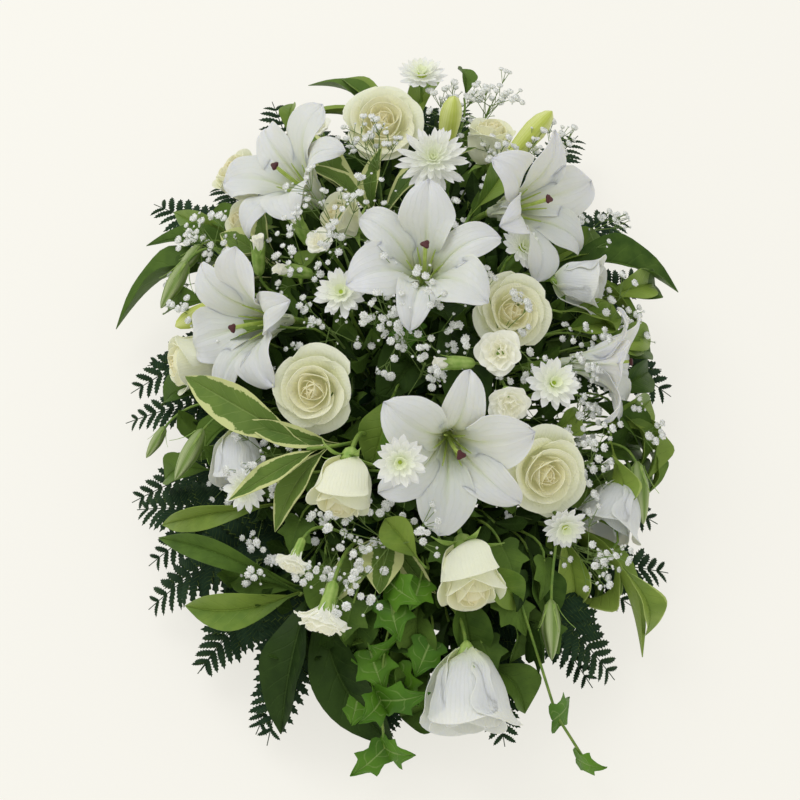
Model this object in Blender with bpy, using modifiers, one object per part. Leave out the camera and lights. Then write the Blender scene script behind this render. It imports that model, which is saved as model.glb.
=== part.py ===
"""A casket spray: lilies, roses, carnations, spray chrysanthemums, lisianthus and gypsophila over ferns,
broad leaves and ivy, all standing in one long block of wet foam that is taped into a plastic tray.

The spray lies on its tray, +Z up. Its long axis is Y, and its front end, the one that trails, points to -Y.
The origin is the middle of the tray's flat underside. Lengths are in millimetres here, and each finished
object is brought to metres. Angles are in degrees.
"""

import math
import random
from typing import NamedTuple

import bmesh
import bpy
from mathutils import Matrix, Vector
from mathutils.bvhtree import BVHTree

MM = 0.001
WELD = 0.01
GAP = 0.35

# The holder
TRAY_LENGTH, TRAY_WIDTH, TRAY_HEIGHT, TRAY_WALL, TRAY_FLOOR = 480.0, 126.0, 34.0, 2.4, 3.0
TRAY_CORNER, TRAY_LIP = 14.0, 5.0
FOAM_LENGTH, FOAM_WIDTH, FOAM_HEIGHT, FOAM_EDGE = 460.0, 112.0, 80.0, 6.0
FOAM_FOOT = TRAY_FLOOR + GAP
FOAM_TOP = FOAM_FOOT + FOAM_HEIGHT
TAPE_WIDTH, TAPE_THICK, TAPE_PLACE = 12.0, 0.8, 118.0

# Stems, which come to the foam in a straight line and go on into it
STEM_DEPTH, STEM_STRAIGHT, STEM_SUNK = 24.0, 12.0, 3.0
HOLE_SIDES, HOLE_SPARE = 4, 0.6
CORE_HEIGHT, CORE_SHARE_X, CORE_SHARE_Y, CORE_END = 46.0, 0.10, 0.47, 205.0
TAPE_CLEAR = TAPE_WIDTH / 2 + 5.0
STEM_STEPS, STALK_STEPS = 3, 2

# Sheets of petal and leaf
PETAL_THICK, LEAF_THICK = 0.9, 0.8

# Colours, with roughness
COLOURS = {
    "tray_plastic": ((0.02, 0.09, 0.04), 0.45),
    "foam": ((0.06, 0.17, 0.07), 0.95),
    "tape": ((0.03, 0.12, 0.05), 0.4),
    "lily_white": ((0.86, 0.87, 0.82), 0.45),
    "rose_cream": ((0.87, 0.84, 0.62), 0.55),
    "flower_white": ((0.88, 0.89, 0.84), 0.55),
    "fresh_green": ((0.30, 0.42, 0.06), 0.5),
    "stem_green": ((0.10, 0.20, 0.04), 0.5),
    "stigma_brown": ((0.07, 0.02, 0.02), 0.6),
    "fern_green": ((0.02, 0.07, 0.02), 0.5),
    "leaf_green": ((0.07, 0.17, 0.03), 0.4),
    "dark_leaf": ((0.03, 0.09, 0.02), 0.4),
    "cream_edged_leaf": ((0.16, 0.26, 0.06), 0.45),
    "ivy_green": ((0.05, 0.16, 0.03), 0.4),
}


class Place(NamedTuple):
    """Where a flower head is: the middle of its face, and the way that it faces."""

    x: float
    y: float
    z: float
    tilt: float  # from straight up
    heading: float  # the way it leans: 0 to the front, 90 to +X
    spin: float = 0.0  # its turn about its own axis
    size: float = 1.0
    kind: str = ""  # where it differs from the others on its stem


class Flower(NamedTuple):
    """A flower stem. Its first head's stem goes into the foam, and the other heads' stalks join it."""

    kind: str
    heads: tuple
    lead: float = 0.45  # how far the stem keeps its head's line, as a share of its run
    shift: tuple = (0.0, 0.0)  # moves the stem's place in the foam, along X and Y
    join: int = 2  # the point of the stem where the stalks join it


class Leaf(NamedTuple):
    """A leaf, by the place of its tip."""

    x: float
    y: float
    z: float
    width: float
    roll: float = 0.0
    finish: str = ""  # where it differs from the others on its stem


class Vine(NamedTuple):
    """An ivy trail: its points from where it leaves the foam, and its leaves."""

    points: tuple
    leaves: tuple
    lead: float = 0.3
    shift: tuple = (0.0, 0.0)


class Spray(NamedTuple):
    """A gypsophila stem: the points where its florets spread."""

    tops: tuple
    reach: float = 75.0
    florets: int = 5
    tries: int = 60
    lead: float = 0.4
    shift: tuple = (0.0, 0.0)


class Sprig(NamedTuple):
    """A leafy stem: its stem comes from the foam to a hub, where its leaves spread."""

    kind: str
    hub: tuple
    leaves: tuple
    lead: float = 0.4
    shift: tuple = (0.0, 0.0)


FLOWERS = {
    "lily_1": Flower("lily", (Place(25, 45, 250, 6, 0, 84),)),
    "lily_2": Flower("lily", (Place(50, -155, 240, 45, 5, 20),), 0.4, (0, 10)),
    "lily_3": Flower(
        "lily",
        (
            Place(130, 155, 205, 52, 68, 90),
            Place(55, 265, 210, 20, 160, 0, 1.05, "lily_bud"),
            Place(145, 275, 175, 65, 132, 0, 1.1, "lily_bud"),
        ),
    ),
    "lily_4": Flower(
        "lily",
        (Place(-145, 10, 205, 54, -58), Place(-215, 55, 150, 86, -55, 0, 0.9, "lily_bud")),
    ),
    "lily_5": Flower("lily", (Place(-110, 190, 200, 38, -98, 30),)),
    "lily_6": Flower("lily", (Place(205, -20, 170, 82, 82, 0, 0.85),)),
    "rose_1": Flower("rose", (Place(-20, 295, 185, 12, 0, 0, 1.2),)),
    "rose_2": Flower("rose", (Place(-90, -90, 232, 37, -13, 20, 1.1),)),
    "rose_3": Flower("rose", (Place(120, 10, 225, 31, 20, 40, 1.05),)),
    "rose_4": Flower("rose", (Place(150, -165, 190, 43, 20, 10, 1.12),)),
    "rose_5": Flower("half_rose", (Place(-60, -210, 215, 100, -12, 0, 1.15),)),
    "rose_6": Flower("half_rose", (Place(70, -290, 180, 90, 8, 0, 1.25),)),
    "rose_7": Flower("half_rose", (Place(-70, 130, 230, 38, -86, 0, 0.85),)),
    "rose_8": Flower("half_rose", (Place(105, 295, 165, 31, 163),)),
    "rose_9": Flower("half_rose", (Place(-240, 0, 135, 82, -74, 0, 1.1),)),
    "rose_10": Flower(
        "half_rose",
        (Place(-195, 270, 125, 51, -121, 0, 1.05), Place(-180, 180, 150, 40, -80, 0, 0.8)),
    ),
    "chrysanthemum_1": Flower(
        "double_daisy",
        (Place(35, 190, 245, 15, 0, 0, 1.12), Place(25, 380, 155, 15, 180, 0, 1.2, "daisy")),
    ),
    "chrysanthemum_2": Flower("daisy", (Place(-60, 20, 245, 13, -31, 0, 1.2),)),
    "chrysanthemum_3": Flower(
        "daisy",
        (Place(155, -70, 215, 25, 45, 0, 1.2), Place(130, 100, 210, 35, 85, 0, 1.1)),
        0.55,
        (5, -30),
    ),
    "chrysanthemum_4": Flower(
        "daisy",
        (Place(0, -200, 290, 40, 5, 0, 1.1), Place(-155, -175, 185, 50, -35)),
        0.4,
        (5, -30),
    ),
    "chrysanthemum_5": Flower("daisy", (Place(165, -205, 160, 60, 15),), 0.45, (-15, 30)),
    "carnation_1": Flower(
        "carnation",
        (Place(-75, -310, 165, 110, -16, 0, 1.1), Place(-105, -255, 180, 100, -20, 0, 0.75)),
    ),
    "carnation_2": Flower(
        "carnation",
        (
            Place(100, -45, 235, 31, -19, 0, 0.95),
            Place(110, -100, 225, 60, 6, 0, 0.85),
            Place(45, -55, 230, 73, -80, 0, 1.0, "carnation_bud"),
        ),
    ),
    "carnation_3": Flower(
        "carnation",
        (
            Place(-85, 90, 235, 25, -65, 0, 0.6),
            Place(-110, 125, 225, 35, -135, 0, 1.0, "carnation_bud"),
            Place(-120, 65, 220, 60, -80, 0, 1.0, "carnation_bud"),
            Place(-150, 100, 210, 30, 180, 0, 1.0, "carnation_bud"),
        ),
    ),
    "carnation_4": Flower("carnation", (Place(-95, 295, 165, 27, -123, 0, 0.7),)),
    "lisianthus_1": Flower(
        "lisianthus",
        (
            Place(-165, -130, 160, 105, 5, 0, 0.9),
            Place(-220, -115, 140, 110, -30, 0, 1.0, "lisianthus_bud"),
            Place(-260, -80, 105, 105, -30, 0, 0.65, "lisianthus_bud"),
        ),
        0.25,
        (-20, 40),
    ),
    "lisianthus_2": Flower("lisianthus", (Place(65, -375, 130, 102, 0, 0, 1.3),)),
    "lisianthus_3": Flower("lisianthus", (Place(195, 70, 185, 82, 75, 0, 0.85),)),
    "lisianthus_4": Flower(
        "lisianthus",
        (
            Place(220, -160, 105, 96, -28),
            Place(250, -145, 110, 110, 5, 0, 1.1, "lisianthus_bud"),
            Place(150, -305, 125, 110, 0, 0, 1.0, "lisianthus_bud"),
        ),
    ),
    "lisianthus_5": Flower(
        "lisianthus_bud",
        (Place(-250, 105, 125, 110, -30), Place(-235, 135, 130, 90, -30, 0, 0.8)),
        0.45,
        (0, -30),
    ),
}

SPRIGS = {
    "variegated_1": Sprig(
        "cream_edged_leaf",
        (-90, -140, 205),
        (
            Leaf(-220, -50, 195, 45),
            Leaf(-170, -190, 190, 26),
            Leaf(-125, -210, 160, 30),
            Leaf(-160, -110, 210, 24),
        ),
        0.55,
        (-20, 40),
    ),
    "variegated_2": Sprig(
        "cream_edged_leaf",
        (-30, 175, 170),
        (
            Leaf(-105, 285, 170, 34),
            Leaf(-20, 240, 200, 22),
            Leaf(-105, 215, 200, 26),
            Leaf(85, 255, 180, 30),
        ),
        0.45,
        (10, 20),
    ),
    "variegated_3": Sprig(
        "cream_edged_leaf",
        (-15, -210, 155),
        (Leaf(-20, -280, 165, 42), Leaf(-80, -285, 135, 30), Leaf(35, -275, 155, 24)),
        0.3,
        (0, 20),
    ),
    "variegated_4": Sprig(
        "cream_edged_leaf",
        (-140, 120, 145),
        (
            Leaf(-200, 170, 135, 30),
            Leaf(-215, 80, 185, 28),
            Leaf(-150, 195, 170, 28),
            Leaf(-200, 30, 170, 28),
        ),
        0.3,
        (-15, 10),
    ),
    "laurel_1": Sprig(
        "leaf_green",
        (-100, -255, 110),
        (
            Leaf(-250, -185, 95, 32, 20),
            Leaf(-220, -255, 80, 38),
            Leaf(-180, -210, 95, 34, 10),
            Leaf(-120, -380, 45, 54, 10, "dark_leaf"),
            Leaf(-5, -390, 30, 56, -10, "dark_leaf"),
        ),
        0.6,
        (0, -20),
    ),
    "laurel_2": Sprig(
        "leaf_green",
        (155, -160, 85),
        (
            Leaf(160, -260, 65, 36, 20),
            Leaf(200, -255, 60, 34, -20),
            Leaf(250, -295, 40, 36, -25),
            Leaf(255, -85, 50, 42, 10),
        ),
        0.4,
        (15, -10),
    ),
    "laurel_3": Sprig(
        "leaf_green",
        (145, 125, 120),
        (
            Leaf(312, 125, 85, 52),
            Leaf(245, 175, 85, 36),
            Leaf(235, 45, 110, 42, 10),
            Leaf(275, 55, 90, 34, -10),
        ),
    ),
    "laurel_4": Sprig(
        "leaf_green",
        (-155, 145, 100),
        (Leaf(-320, 95, 55, 50), Leaf(-260, 235, 85, 28), Leaf(-290, 195, 75, 26)),
        0.6,
    ),
    "laurel_5": Sprig(
        "leaf_green",
        (0, 305, 100),
        (
            Leaf(-110, 425, 80, 28),
            Leaf(-75, 430, 85, 30),
            Leaf(50, 438, 80, 30),
            Leaf(-120, 355, 110, 26),
        ),
    ),
    "laurel_6": Sprig(
        "dark_leaf",
        (40, 55, 165),
        (
            Leaf(55, 25, 175, 62),
            Leaf(65, -125, 165, 62),
            Leaf(-25, -65, 155, 62),
            Leaf(-30, 75, 160, 62),
            Leaf(-30, 95, 130, 58),
        ),
        0.5,
        (20, 0),
    ),
}

FERNS = {
    "fern_1": Sprig(
        "fern_green",
        (-70, -160, 80),
        (
            Leaf(-280, -135, 60, 100, 40),
            Leaf(-265, -235, 25, 100, 100),
            Leaf(-205, -310, 40, 100, 40),
            Leaf(-135, -385, 25, 100, 90),
        ),
    ),
    "fern_2": Sprig(
        "fern_green",
        (-70, 125, 60),
        (Leaf(-300, 20, 40, 100, 50), Leaf(-290, 275, 45, 110, 30), Leaf(-155, 420, 55, 110, 60)),
        0.6,
        (10, 10),
    ),
    "fern_3": Sprig(
        "fern_green",
        (70, -205, 75),
        (Leaf(105, -395, 50, 90, 40), Leaf(220, -320, 40, 100, 100), Leaf(285, -195, 30, 100, 40)),
        0.4,
        (5, 0),
    ),
    "fern_4": Sprig(
        "fern_green",
        (75, 130, 80),
        (Leaf(300, 10, 50, 110, 50), Leaf(265, 250, 50, 110, 30), Leaf(215, 380, 40, 110, 60)),
    ),
}

VINES = {
    "ivy_1": Vine(
        ((-20, -205, 120), (0, -275, 165), (-15, -320, 130), (-20, -365, 100), (-15, -400, 60)),
        (
            Leaf(20, -295, 175, 44),
            Leaf(-30, -330, 155, 46),
            Leaf(30, -365, 120, 42),
            Leaf(-40, -395, 115, 42),
            Leaf(15, -415, 80, 38),
            Leaf(-50, -420, 35, 36),
        ),
        0.4,
        (-20, 30),
    ),
    "ivy_2": Vine(
        ((95, -220, 105), (115, -260, 140), (135, -325, 125), (155, -375, 85), (185, -410, 50)),
        (
            Leaf(115, -290, 145, 54, 0, "dark_leaf"),
            Leaf(80, -245, 155, 44, 0, "dark_leaf"),
            Leaf(140, -340, 140, 52, 0, "dark_leaf"),
            Leaf(170, -350, 70, 40),
            Leaf(205, -420, 60, 34),
        ),
        0.6,
        (20, -20),
    ),
}

SPRAYS = {
    "gypsophila_1": Spray(((-70, 105, 245), (20, 5, 220), (-75, -285, 160)), 75, 5, 60, 0.35, (-15, -20)),
    "gypsophila_2": Spray(((205, 50, 130), (180, -85, 120), (190, -230, 130)), 75, 5, 60, 0.3, (5, 30)),
    "gypsophila_3": Spray(((120, 240, 130), (50, 335, 120)), 75, 5, 60, 0.5, (10, -10)),
    "gypsophila_4": Spray(((-185, 130, 115), (-170, 35, 125), (-145, -175, 115)), 75, 5, 60, 0.4, (5, -10)),
}

# How far each kind of head reaches from its stem's end to its face, and its stem's radius
DEPTH = {
    "lily": 42.0,
    "lily_bud": 35.0,
    "rose": 46.0,
    "half_rose": 44.0,
    "double_daisy": 14.0,
    "daisy": 12.0,
    "carnation": 34.0,
    "carnation_bud": 30.0,
    "lisianthus": 34.0,
    "lisianthus_bud": 26.0,
}
STEM_RADIUS = {"lily": 3.4, "rose": 2.8, "half_rose": 2.6, "lisianthus": 1.9, "lisianthus_bud": 1.7}
STEM_RADIUS_ELSE = 2.1
STALK_SHARE = 0.75
VINE_RADIUS, SPRAY_RADIUS = 1.6, 1.5


def material(name):
    """The material of that name, made the first time it is asked for."""
    made = bpy.data.materials.get(name)
    if made is None:
        colour, roughness = COLOURS[name]
        made = bpy.data.materials.new(name)
        made.use_nodes = True
        shader = made.node_tree.nodes["Principled BSDF"]
        shader.inputs["Base Color"].default_value = (*colour, 1.0)
        shader.inputs["Roughness"].default_value = roughness
        made.diffuse_color = (*colour, 1.0)
    return made


def piece(mesh, *finishes):
    """A loose object of a mesh without materials, waiting to be joined to others."""
    for finish in filter(None, finishes):
        mesh.materials.append(material(finish))
    obj = bpy.data.objects.new("piece", mesh)
    bpy.data.collections["pieces"].objects.link(obj)
    return obj


def applied(obj):
    """The object with its modifiers, or its curve, made into its mesh."""
    bpy.context.view_layer.update()
    mesh = bpy.data.meshes.new_from_object(obj.evaluated_get(bpy.context.evaluated_depsgraph_get()))
    obj.modifiers.clear()
    obj.data = mesh
    return obj


def mesh_of(bm):
    """A mesh of a bmesh, which is freed."""
    mesh = bpy.data.meshes.new("piece")
    bm.to_mesh(mesh)
    bm.free()
    return mesh


def combined(base, others, operation):
    """The base object joined with the others, or cut by them, which are then removed."""
    collection = bpy.data.collections.new("others")
    bpy.context.scene.collection.children.link(collection)
    for obj in others:
        collection.objects.link(obj)
    modifier = base.modifiers.new("combine", "BOOLEAN")
    modifier.operation = operation
    modifier.operand_type = "COLLECTION"
    modifier.collection = collection
    modifier.solver = "MANIFOLD"
    modifier.material_mode = "TRANSFER"
    applied(base)
    for obj in others:
        bpy.data.objects.remove(obj)
    bpy.data.collections.remove(collection)
    return base


def finished(name, pieces, foot=(0, 0, 0)):
    """One solid of overlapping pieces, in metres, under its own name and with its origin at its foot."""
    obj, *others = pieces
    if others:
        combined(obj, others, "UNION")
    obj.name = obj.data.name = name
    obj.data.transform(Matrix.Scale(MM, 4) @ Matrix.Translation(-Vector(foot)))
    obj.location = Vector(foot) * MM
    bpy.data.collections["pieces"].objects.unlink(obj)
    bpy.data.collections["casket_spray"].objects.link(obj)
    obj.parent = bpy.data.objects["casket_spray"]
    return obj


def thickened(bm, thick, finish):
    """An open surface given its thickness, with both faces split into triangles alike."""
    bmesh.ops.remove_doubles(bm, verts=bm.verts, dist=WELD)
    bmesh.ops.triangulate(bm, faces=bm.faces)
    obj = piece(mesh_of(bm), finish)
    solidify = obj.modifiers.new("thickness", "SOLIDIFY")
    solidify.thickness = thick
    solidify.offset = 0.0
    return applied(obj)


def sheet(point, across, along, thick, finish):
    """A thin blade. point gives its surface from u, -1 to 1 across, and t, 0 to 1 along."""
    bm = bmesh.new()
    bmesh.ops.create_grid(bm, x_segments=across, y_segments=along, size=0.5)
    for vert in bm.verts:
        vert.co = point(2 * vert.co.x, vert.co.y + 0.5)
    return thickened(bm, thick, finish)


def corolla(petals, across, rows, point, neck, finish):
    """A ring of petals that are one sheet at their feet. point gives its surface from a petal's number,
    u, -1 to 1 across the petal, and t, 0 to 1 along it. The foot is closed, or open with the neck's points,
    one for each column."""
    bm = bmesh.new()
    columns = petals * across
    shared = [bm.verts.new(point(c // across, 2 * (c % across) / across - 1, 0.0)) for c in range(columns)]
    if neck:
        low = [bm.verts.new(place) for place in neck]
        for c in range(columns):
            after = (c + 1) % columns
            bm.faces.new((low[c], low[after], shared[after], shared[c]))
    else:
        bm.faces.new(reversed(shared))
    for petal in range(petals):
        row = [shared[(petal * across + i) % columns] for i in range(across + 1)]
        for number in range(1, rows + 1):
            ends = [bm.verts.new(point(petal, 2 * i / across - 1, number / rows)) for i in range(across + 1)]
            for i in range(across):
                bm.faces.new((row[i], row[i + 1], ends[i + 1], ends[i]))
            row = ends
    bmesh.ops.recalc_face_normals(bm, faces=bm.faces)
    return thickened(bm, PETAL_THICK, finish)


def slab(rim, thick, finish):
    """A thin flat form inside its outline."""
    bm = bmesh.new()
    bm.faces.new([bm.verts.new(place) for place in rim])
    return thickened(bm, thick, finish)


def turned(rows, around, finish, foot_finish=None, foot_rows=0):
    """A closed body of rings. A row gives a ring's radius and height, and how far every other corner of it
    is lowered and drawn in, or with a number below nothing, the corners between them. The lowest rows may
    have a finish of their own."""
    last = len(rows) - 1
    bm = bmesh.new()
    bmesh.ops.create_uvsphere(bm, u_segments=around, v_segments=last, radius=1)
    level = bm.verts.layers.int.new("row")
    for vert in bm.verts:
        vert[level] = round(math.acos(max(-1.0, min(1.0, -vert.co.z))) / math.pi * last)
        radius, height, drop, fold = (*rows[vert[level]], 0, 0)[:4]
        angle = math.atan2(vert.co.y, vert.co.x)
        odd = round(angle / math.tau * around) % 2 == (0 if drop < 0 else 1)
        vert.co = polar(radius - abs(fold) * odd, math.degrees(angle), height - abs(drop) * odd)
    for face in bm.faces:
        face.material_index = int(min(vert[level] for vert in face.verts) < foot_rows)
    return piece(mesh_of(bm), finish, foot_finish)


def rod(start, end, radius, sides, finish, end_radius=None):
    """A straight rod or cone between two points."""
    run = Vector(end) - Vector(start)
    bm = bmesh.new()
    bmesh.ops.create_cone(
        bm,
        cap_ends=True,
        segments=sides,
        radius1=radius,
        radius2=radius if end_radius is None else end_radius,
        depth=run.length,
        matrix=Matrix.Translation(Vector(start) + run / 2) @ run.to_track_quat("Z", "Y").to_matrix().to_4x4(),
    )
    return piece(mesh_of(bm), finish)


def tube(points, radius, finish, start_radius=None):
    """A bent stem with four sides, through these points. It may start thicker or thinner."""
    curve = bpy.data.curves.new("stem", "CURVE")
    curve.dimensions = "3D"
    spline = curve.splines.new("POLY")
    spline.points.add(len(points) - 1)
    for knot, point in zip(spline.points, points):
        knot.co = (*point, 1.0)
    if start_radius:
        spline.points[0].radius = start_radius / radius
    curve.bevel_depth = radius
    curve.bevel_resolution = 0
    curve.use_fill_caps = True
    line = bpy.data.objects.new("line", curve)
    bpy.data.collections["pieces"].objects.link(line)
    bpy.context.view_layer.update()
    mesh = bpy.data.meshes.new_from_object(line.evaluated_get(bpy.context.evaluated_depsgraph_get()))
    bpy.data.objects.remove(line)
    bm = bmesh.new()
    bm.from_mesh(mesh)
    bmesh.ops.remove_doubles(bm, verts=bm.verts, dist=WELD)
    return piece(mesh_of(bm), finish)


def carried(pieces, matrix):
    """The pieces, taken from their own frame to the spray's."""
    for obj in pieces:
        obj.data.transform(matrix)
    return pieces


def polar(reach, degrees, height):
    """A point by its distance from the axis, its angle and its height."""
    angle = math.radians(degrees)
    return Vector((reach * math.cos(angle), reach * math.sin(angle), height))


def aim(tilt, heading):
    """The direction that leans by tilt from straight up, towards a heading."""
    lean, turn = math.radians(tilt), math.radians(heading)
    return Vector((math.sin(lean) * math.sin(turn), -math.sin(lean) * math.cos(turn), math.cos(lean)))


def seat(place, depth):
    """The frame of a flower head: its origin where the stem meets it, and +Z out of its face."""
    axis = aim(place.tilt, place.heading)
    foot = Vector((place.x, place.y, place.z)) - axis * depth * place.size
    turn = axis.to_track_quat("Z", "Y").to_matrix().to_4x4()
    spin = Matrix.Rotation(math.radians(place.spin), 4, "Z")
    return Matrix.Translation(foot) @ turn @ spin @ Matrix.Scale(place.size, 4)


def bent(a, b, c, d, steps):
    """Points along a smooth bend from a to d, which leaves a towards b and comes to d from c."""
    shares = [number / steps for number in range(steps + 1)]
    return [
        a * (1 - s) ** 3 + b * 3 * s * (1 - s) ** 2 + c * 3 * s**2 * (1 - s) + d * s**3 for s in shares
    ]


def foam_door(point, shift):
    """Where a stem from a point goes into the foam, clear of the tapes, and the way out along it."""
    along = max(-CORE_END, min(CORE_END, point.y * CORE_SHARE_Y))
    core = Vector((point.x * CORE_SHARE_X + shift[0], along + shift[1], CORE_HEIGHT))
    run = core - point
    half = Vector((FOAM_WIDTH / 2, FOAM_LENGTH / 2, FOAM_HEIGHT / 2))
    share = 0.0
    for axis, middle in enumerate((0.0, 0.0, FOAM_FOOT + FOAM_HEIGHT / 2)):
        side = math.copysign(half[axis], point[axis] - middle)
        if abs(point[axis] - middle) > half[axis]:
            share = max(share, (middle + side - point[axis]) / run[axis])
    door = point + run * share
    off = abs(door.y) - TAPE_PLACE
    if abs(off) < TAPE_CLEAR:
        door.y = math.copysign(TAPE_PLACE + math.copysign(TAPE_CLEAR, off), door.y)
    return door, -run.normalized()


def stem_line(foot, axis, lead, shift):
    """The points of a stem, from where it meets its head or its leaves to its end in the foam."""
    door, out = foam_door(foot, shift)
    mouth = door + out * STEM_STRAIGHT
    reach = (foot - mouth).length
    return [
        *bent(foot + axis * STEM_SUNK, foot - axis * reach * lead, mouth + out * reach * 0.3, mouth, STEM_STEPS),
        door - out * STEM_DEPTH,
    ]


def stalk_line(foot, axis, line, join):
    """The points of a side stalk, from its head down to a stem that it joins."""
    knot = line[join]
    reach = (foot - knot).length
    down = (line[join + 1] - line[join - 1]).normalized()
    return bent(foot + axis * STEM_SUNK, foot - axis * reach * 0.45, knot - down * reach * 0.3, knot, STALK_STEPS)


# Flower heads, each in its own frame: the stem meets it at the origin, and it faces +Z

LILY_LENGTH, LILY_NECK, LILY_THROAT, LILY_JOINED = 124.0, 6.2, 7.6, 10.0
LILY_TEPALS = ((30.0, -1.2, 106.0), (19.0, 1.2, 118.0))  # each row's half width, place outwards and last lean
LILY_STEPS = 24
PISTIL_LENGTH, PISTIL_RADIUS = 84.0, 1.5
FILAMENT_LENGTH, FILAMENTS, FILAMENT_LEAN = 62.0, 6, 17.0


def tepal_line(last):
    """The middle line of a lily's tepal: for each step its reach, its height and its lean from the axis."""
    reach, height, line = 0.0, LILY_JOINED, []
    for number in range(LILY_STEPS + 1):
        lean = math.radians(14 + (last - 14) * (number / LILY_STEPS) ** 1.7)
        line.append((reach, height, lean))
        reach += math.sin(lean) * LILY_LENGTH / LILY_STEPS
        height += math.cos(lean) * LILY_LENGTH / LILY_STEPS
    return line


def tepal_point(line, petal, width, offset, u, t):
    """A point of a tepal, which is channelled at its foot and broad and open past its middle."""
    if t == 0:
        return polar(LILY_THROAT, 60 * petal + 30 * u, LILY_JOINED)
    reach, height, lean = line[round(t * LILY_STEPS)]
    centre = reach + LILY_THROAT + offset
    half = min(width * math.sin(math.pi * t**0.85) ** 0.8, 0.5 * centre) if t < 1 else 0.0
    rise = (u * half) ** 2 / (2 * (centre + 14))
    outward, turn = centre - rise * math.cos(lean), math.radians(60 * petal)
    return Vector(
        (
            outward * math.cos(turn) - u * half * math.sin(turn),
            outward * math.sin(turn) + u * half * math.cos(turn),
            height + rise * math.sin(lean),
        )
    )


def lily_tepals():
    """Three broad tepals and three narrow ones between and behind them, grown together at their foot."""
    lines = [tepal_line(last) for _, _, last in LILY_TEPALS]

    def point(petal, u, t):
        width, offset, _ = LILY_TEPALS[petal % 2]
        return tepal_point(lines[petal % 2], petal, width, offset, u, t)

    neck = [polar(LILY_NECK, 30 * column - 30, -1) for column in range(12)]
    return [corolla(6, 2, 4, point, neck, "lily_white")]


def lily_pistil():
    """The green pistil with its brown tip, and the filaments round it, which stand free in the throat."""
    neck = LILY_NECK - PETAL_THICK / 2 - GAP
    tip = Vector((6, 0, PISTIL_LENGTH))
    stigma = turned(((0, -3), (4.2, 0, 0.5, 1.6), (0, 3)), 6, "stigma_brown")
    pieces = [
        rod((0, 0, -6), (0, 0, 9), neck, 6, "fresh_green"),
        rod((0, 0, 6), tip, PISTIL_RADIUS, 4, "fresh_green"),
        *carried([stigma], Matrix.Translation(tip)),
    ]
    for number in range(FILAMENTS):
        lean = math.radians(FILAMENT_LEAN)
        way = polar(math.sin(lean), 30 + 360 * number / FILAMENTS, math.cos(lean))
        pieces.append(rod(way * 4, way * FILAMENT_LENGTH, 0.9, 3, "fresh_green"))
    return pieces


def lily_bud():
    """A closed lily bud: long, blunt and a little thicker past its middle."""
    return [turned(((0, -3), (8, 7), (11.5, 30), (10, 52, 1, 1), (0, 68)), 6, "fresh_green")]


def sepals(count, reach, level, tip, finish, foot=8.5):
    """Narrow green sepals round the foot of a flower."""
    rim = []
    for number in range(count):
        rim.append(polar(foot, 360 * (number - 0.5) / count, level))
        rim.append(polar(reach, 360 * number / count, tip))
    return slab(rim, LEAF_THICK, finish)


# Petals that cup each other, as rows of radius, height, drop and fold: up the outside of a ring of petals,
# over their lips, down to the ring inside it, and at last up the heart
ROSE_ROWS = (
    (0, -9),
    (8, -3),
    (20, 6),
    (31, 24),
    (42, 42, 8, 5),
    (41, 43.4, 8, 5),
    (29, 26),
    (22, 22),
    (24, 36),
    (26, 49, -7, 4),
    (24.8, 50, -7, 4),
    (16, 38),
    (11, 48),
    (0, 52),
)
HALF_ROSE_ROWS = (
    (0, -9),
    (8, -3),
    (20, 9),
    (25.5, 28),
    (32, 47, 8, 4),
    (30.8, 48, 8, 4),
    (23.5, 31),
    (19, 31),
    (20, 52, -6, 3),
    (18.6, 52.6, -6, 3),
    (12, 43),
    (0, 54),
)
LISIANTHUS_ROWS = (
    (0, -9),
    (7, -2),
    (19, 12),
    (26, 36),
    (35, 62, 10, 5),
    (33.8, 63, 10, 5),
    (24.4, 38),
    (0, 9),
)
CARNATION_ROWS = (
    (0, -4),
    (5.2, 0),
    (7, 24),
    (29, 29, 4, 4),
    (19, 31.5),
    (27, 36, 4, 4),
    (15, 37.5),
    (17, 43, 3, 3),
    (0, 41),
)


def rose():
    """An open rose: its heart in five petals, and five more that lean out."""
    return [turned(ROSE_ROWS, 10, "rose_cream", "fresh_green", 1)]


def half_rose():
    """A rose that is half open, taller than it is wide, with its sepals under it."""
    return [
        turned(HALF_ROSE_ROWS, 8, "rose_cream", "fresh_green", 1),
        sepals(5, 26, -1, 4, "fresh_green"),
    ]


def lisianthus():
    """A lisianthus: a bell of five broad petals on a green foot."""
    return [turned(LISIANTHUS_ROWS, 10, "flower_white", "fresh_green", 1)]


def lisianthus_bud():
    """A long lisianthus bud."""
    return [turned(((0, -8), (7, 0), (10, 20), (7, 36), (0, 52)), 6, "fresh_green")]


def carnation():
    """A carnation: a frilled head out of a long green calyx."""
    return [turned(CARNATION_ROWS, 12, "flower_white", "fresh_green", 2)]


def carnation_bud():
    """A carnation bud: a long green calyx with a white tip pushing out of it."""
    rows = ((0, -3), (6, 3), (7.2, 24), (8.2, 33, 2, 2), (0, 42))
    return [turned(rows, 6, "flower_white", "fresh_green", 2)]


RAY_WIDE = 100.0


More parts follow.
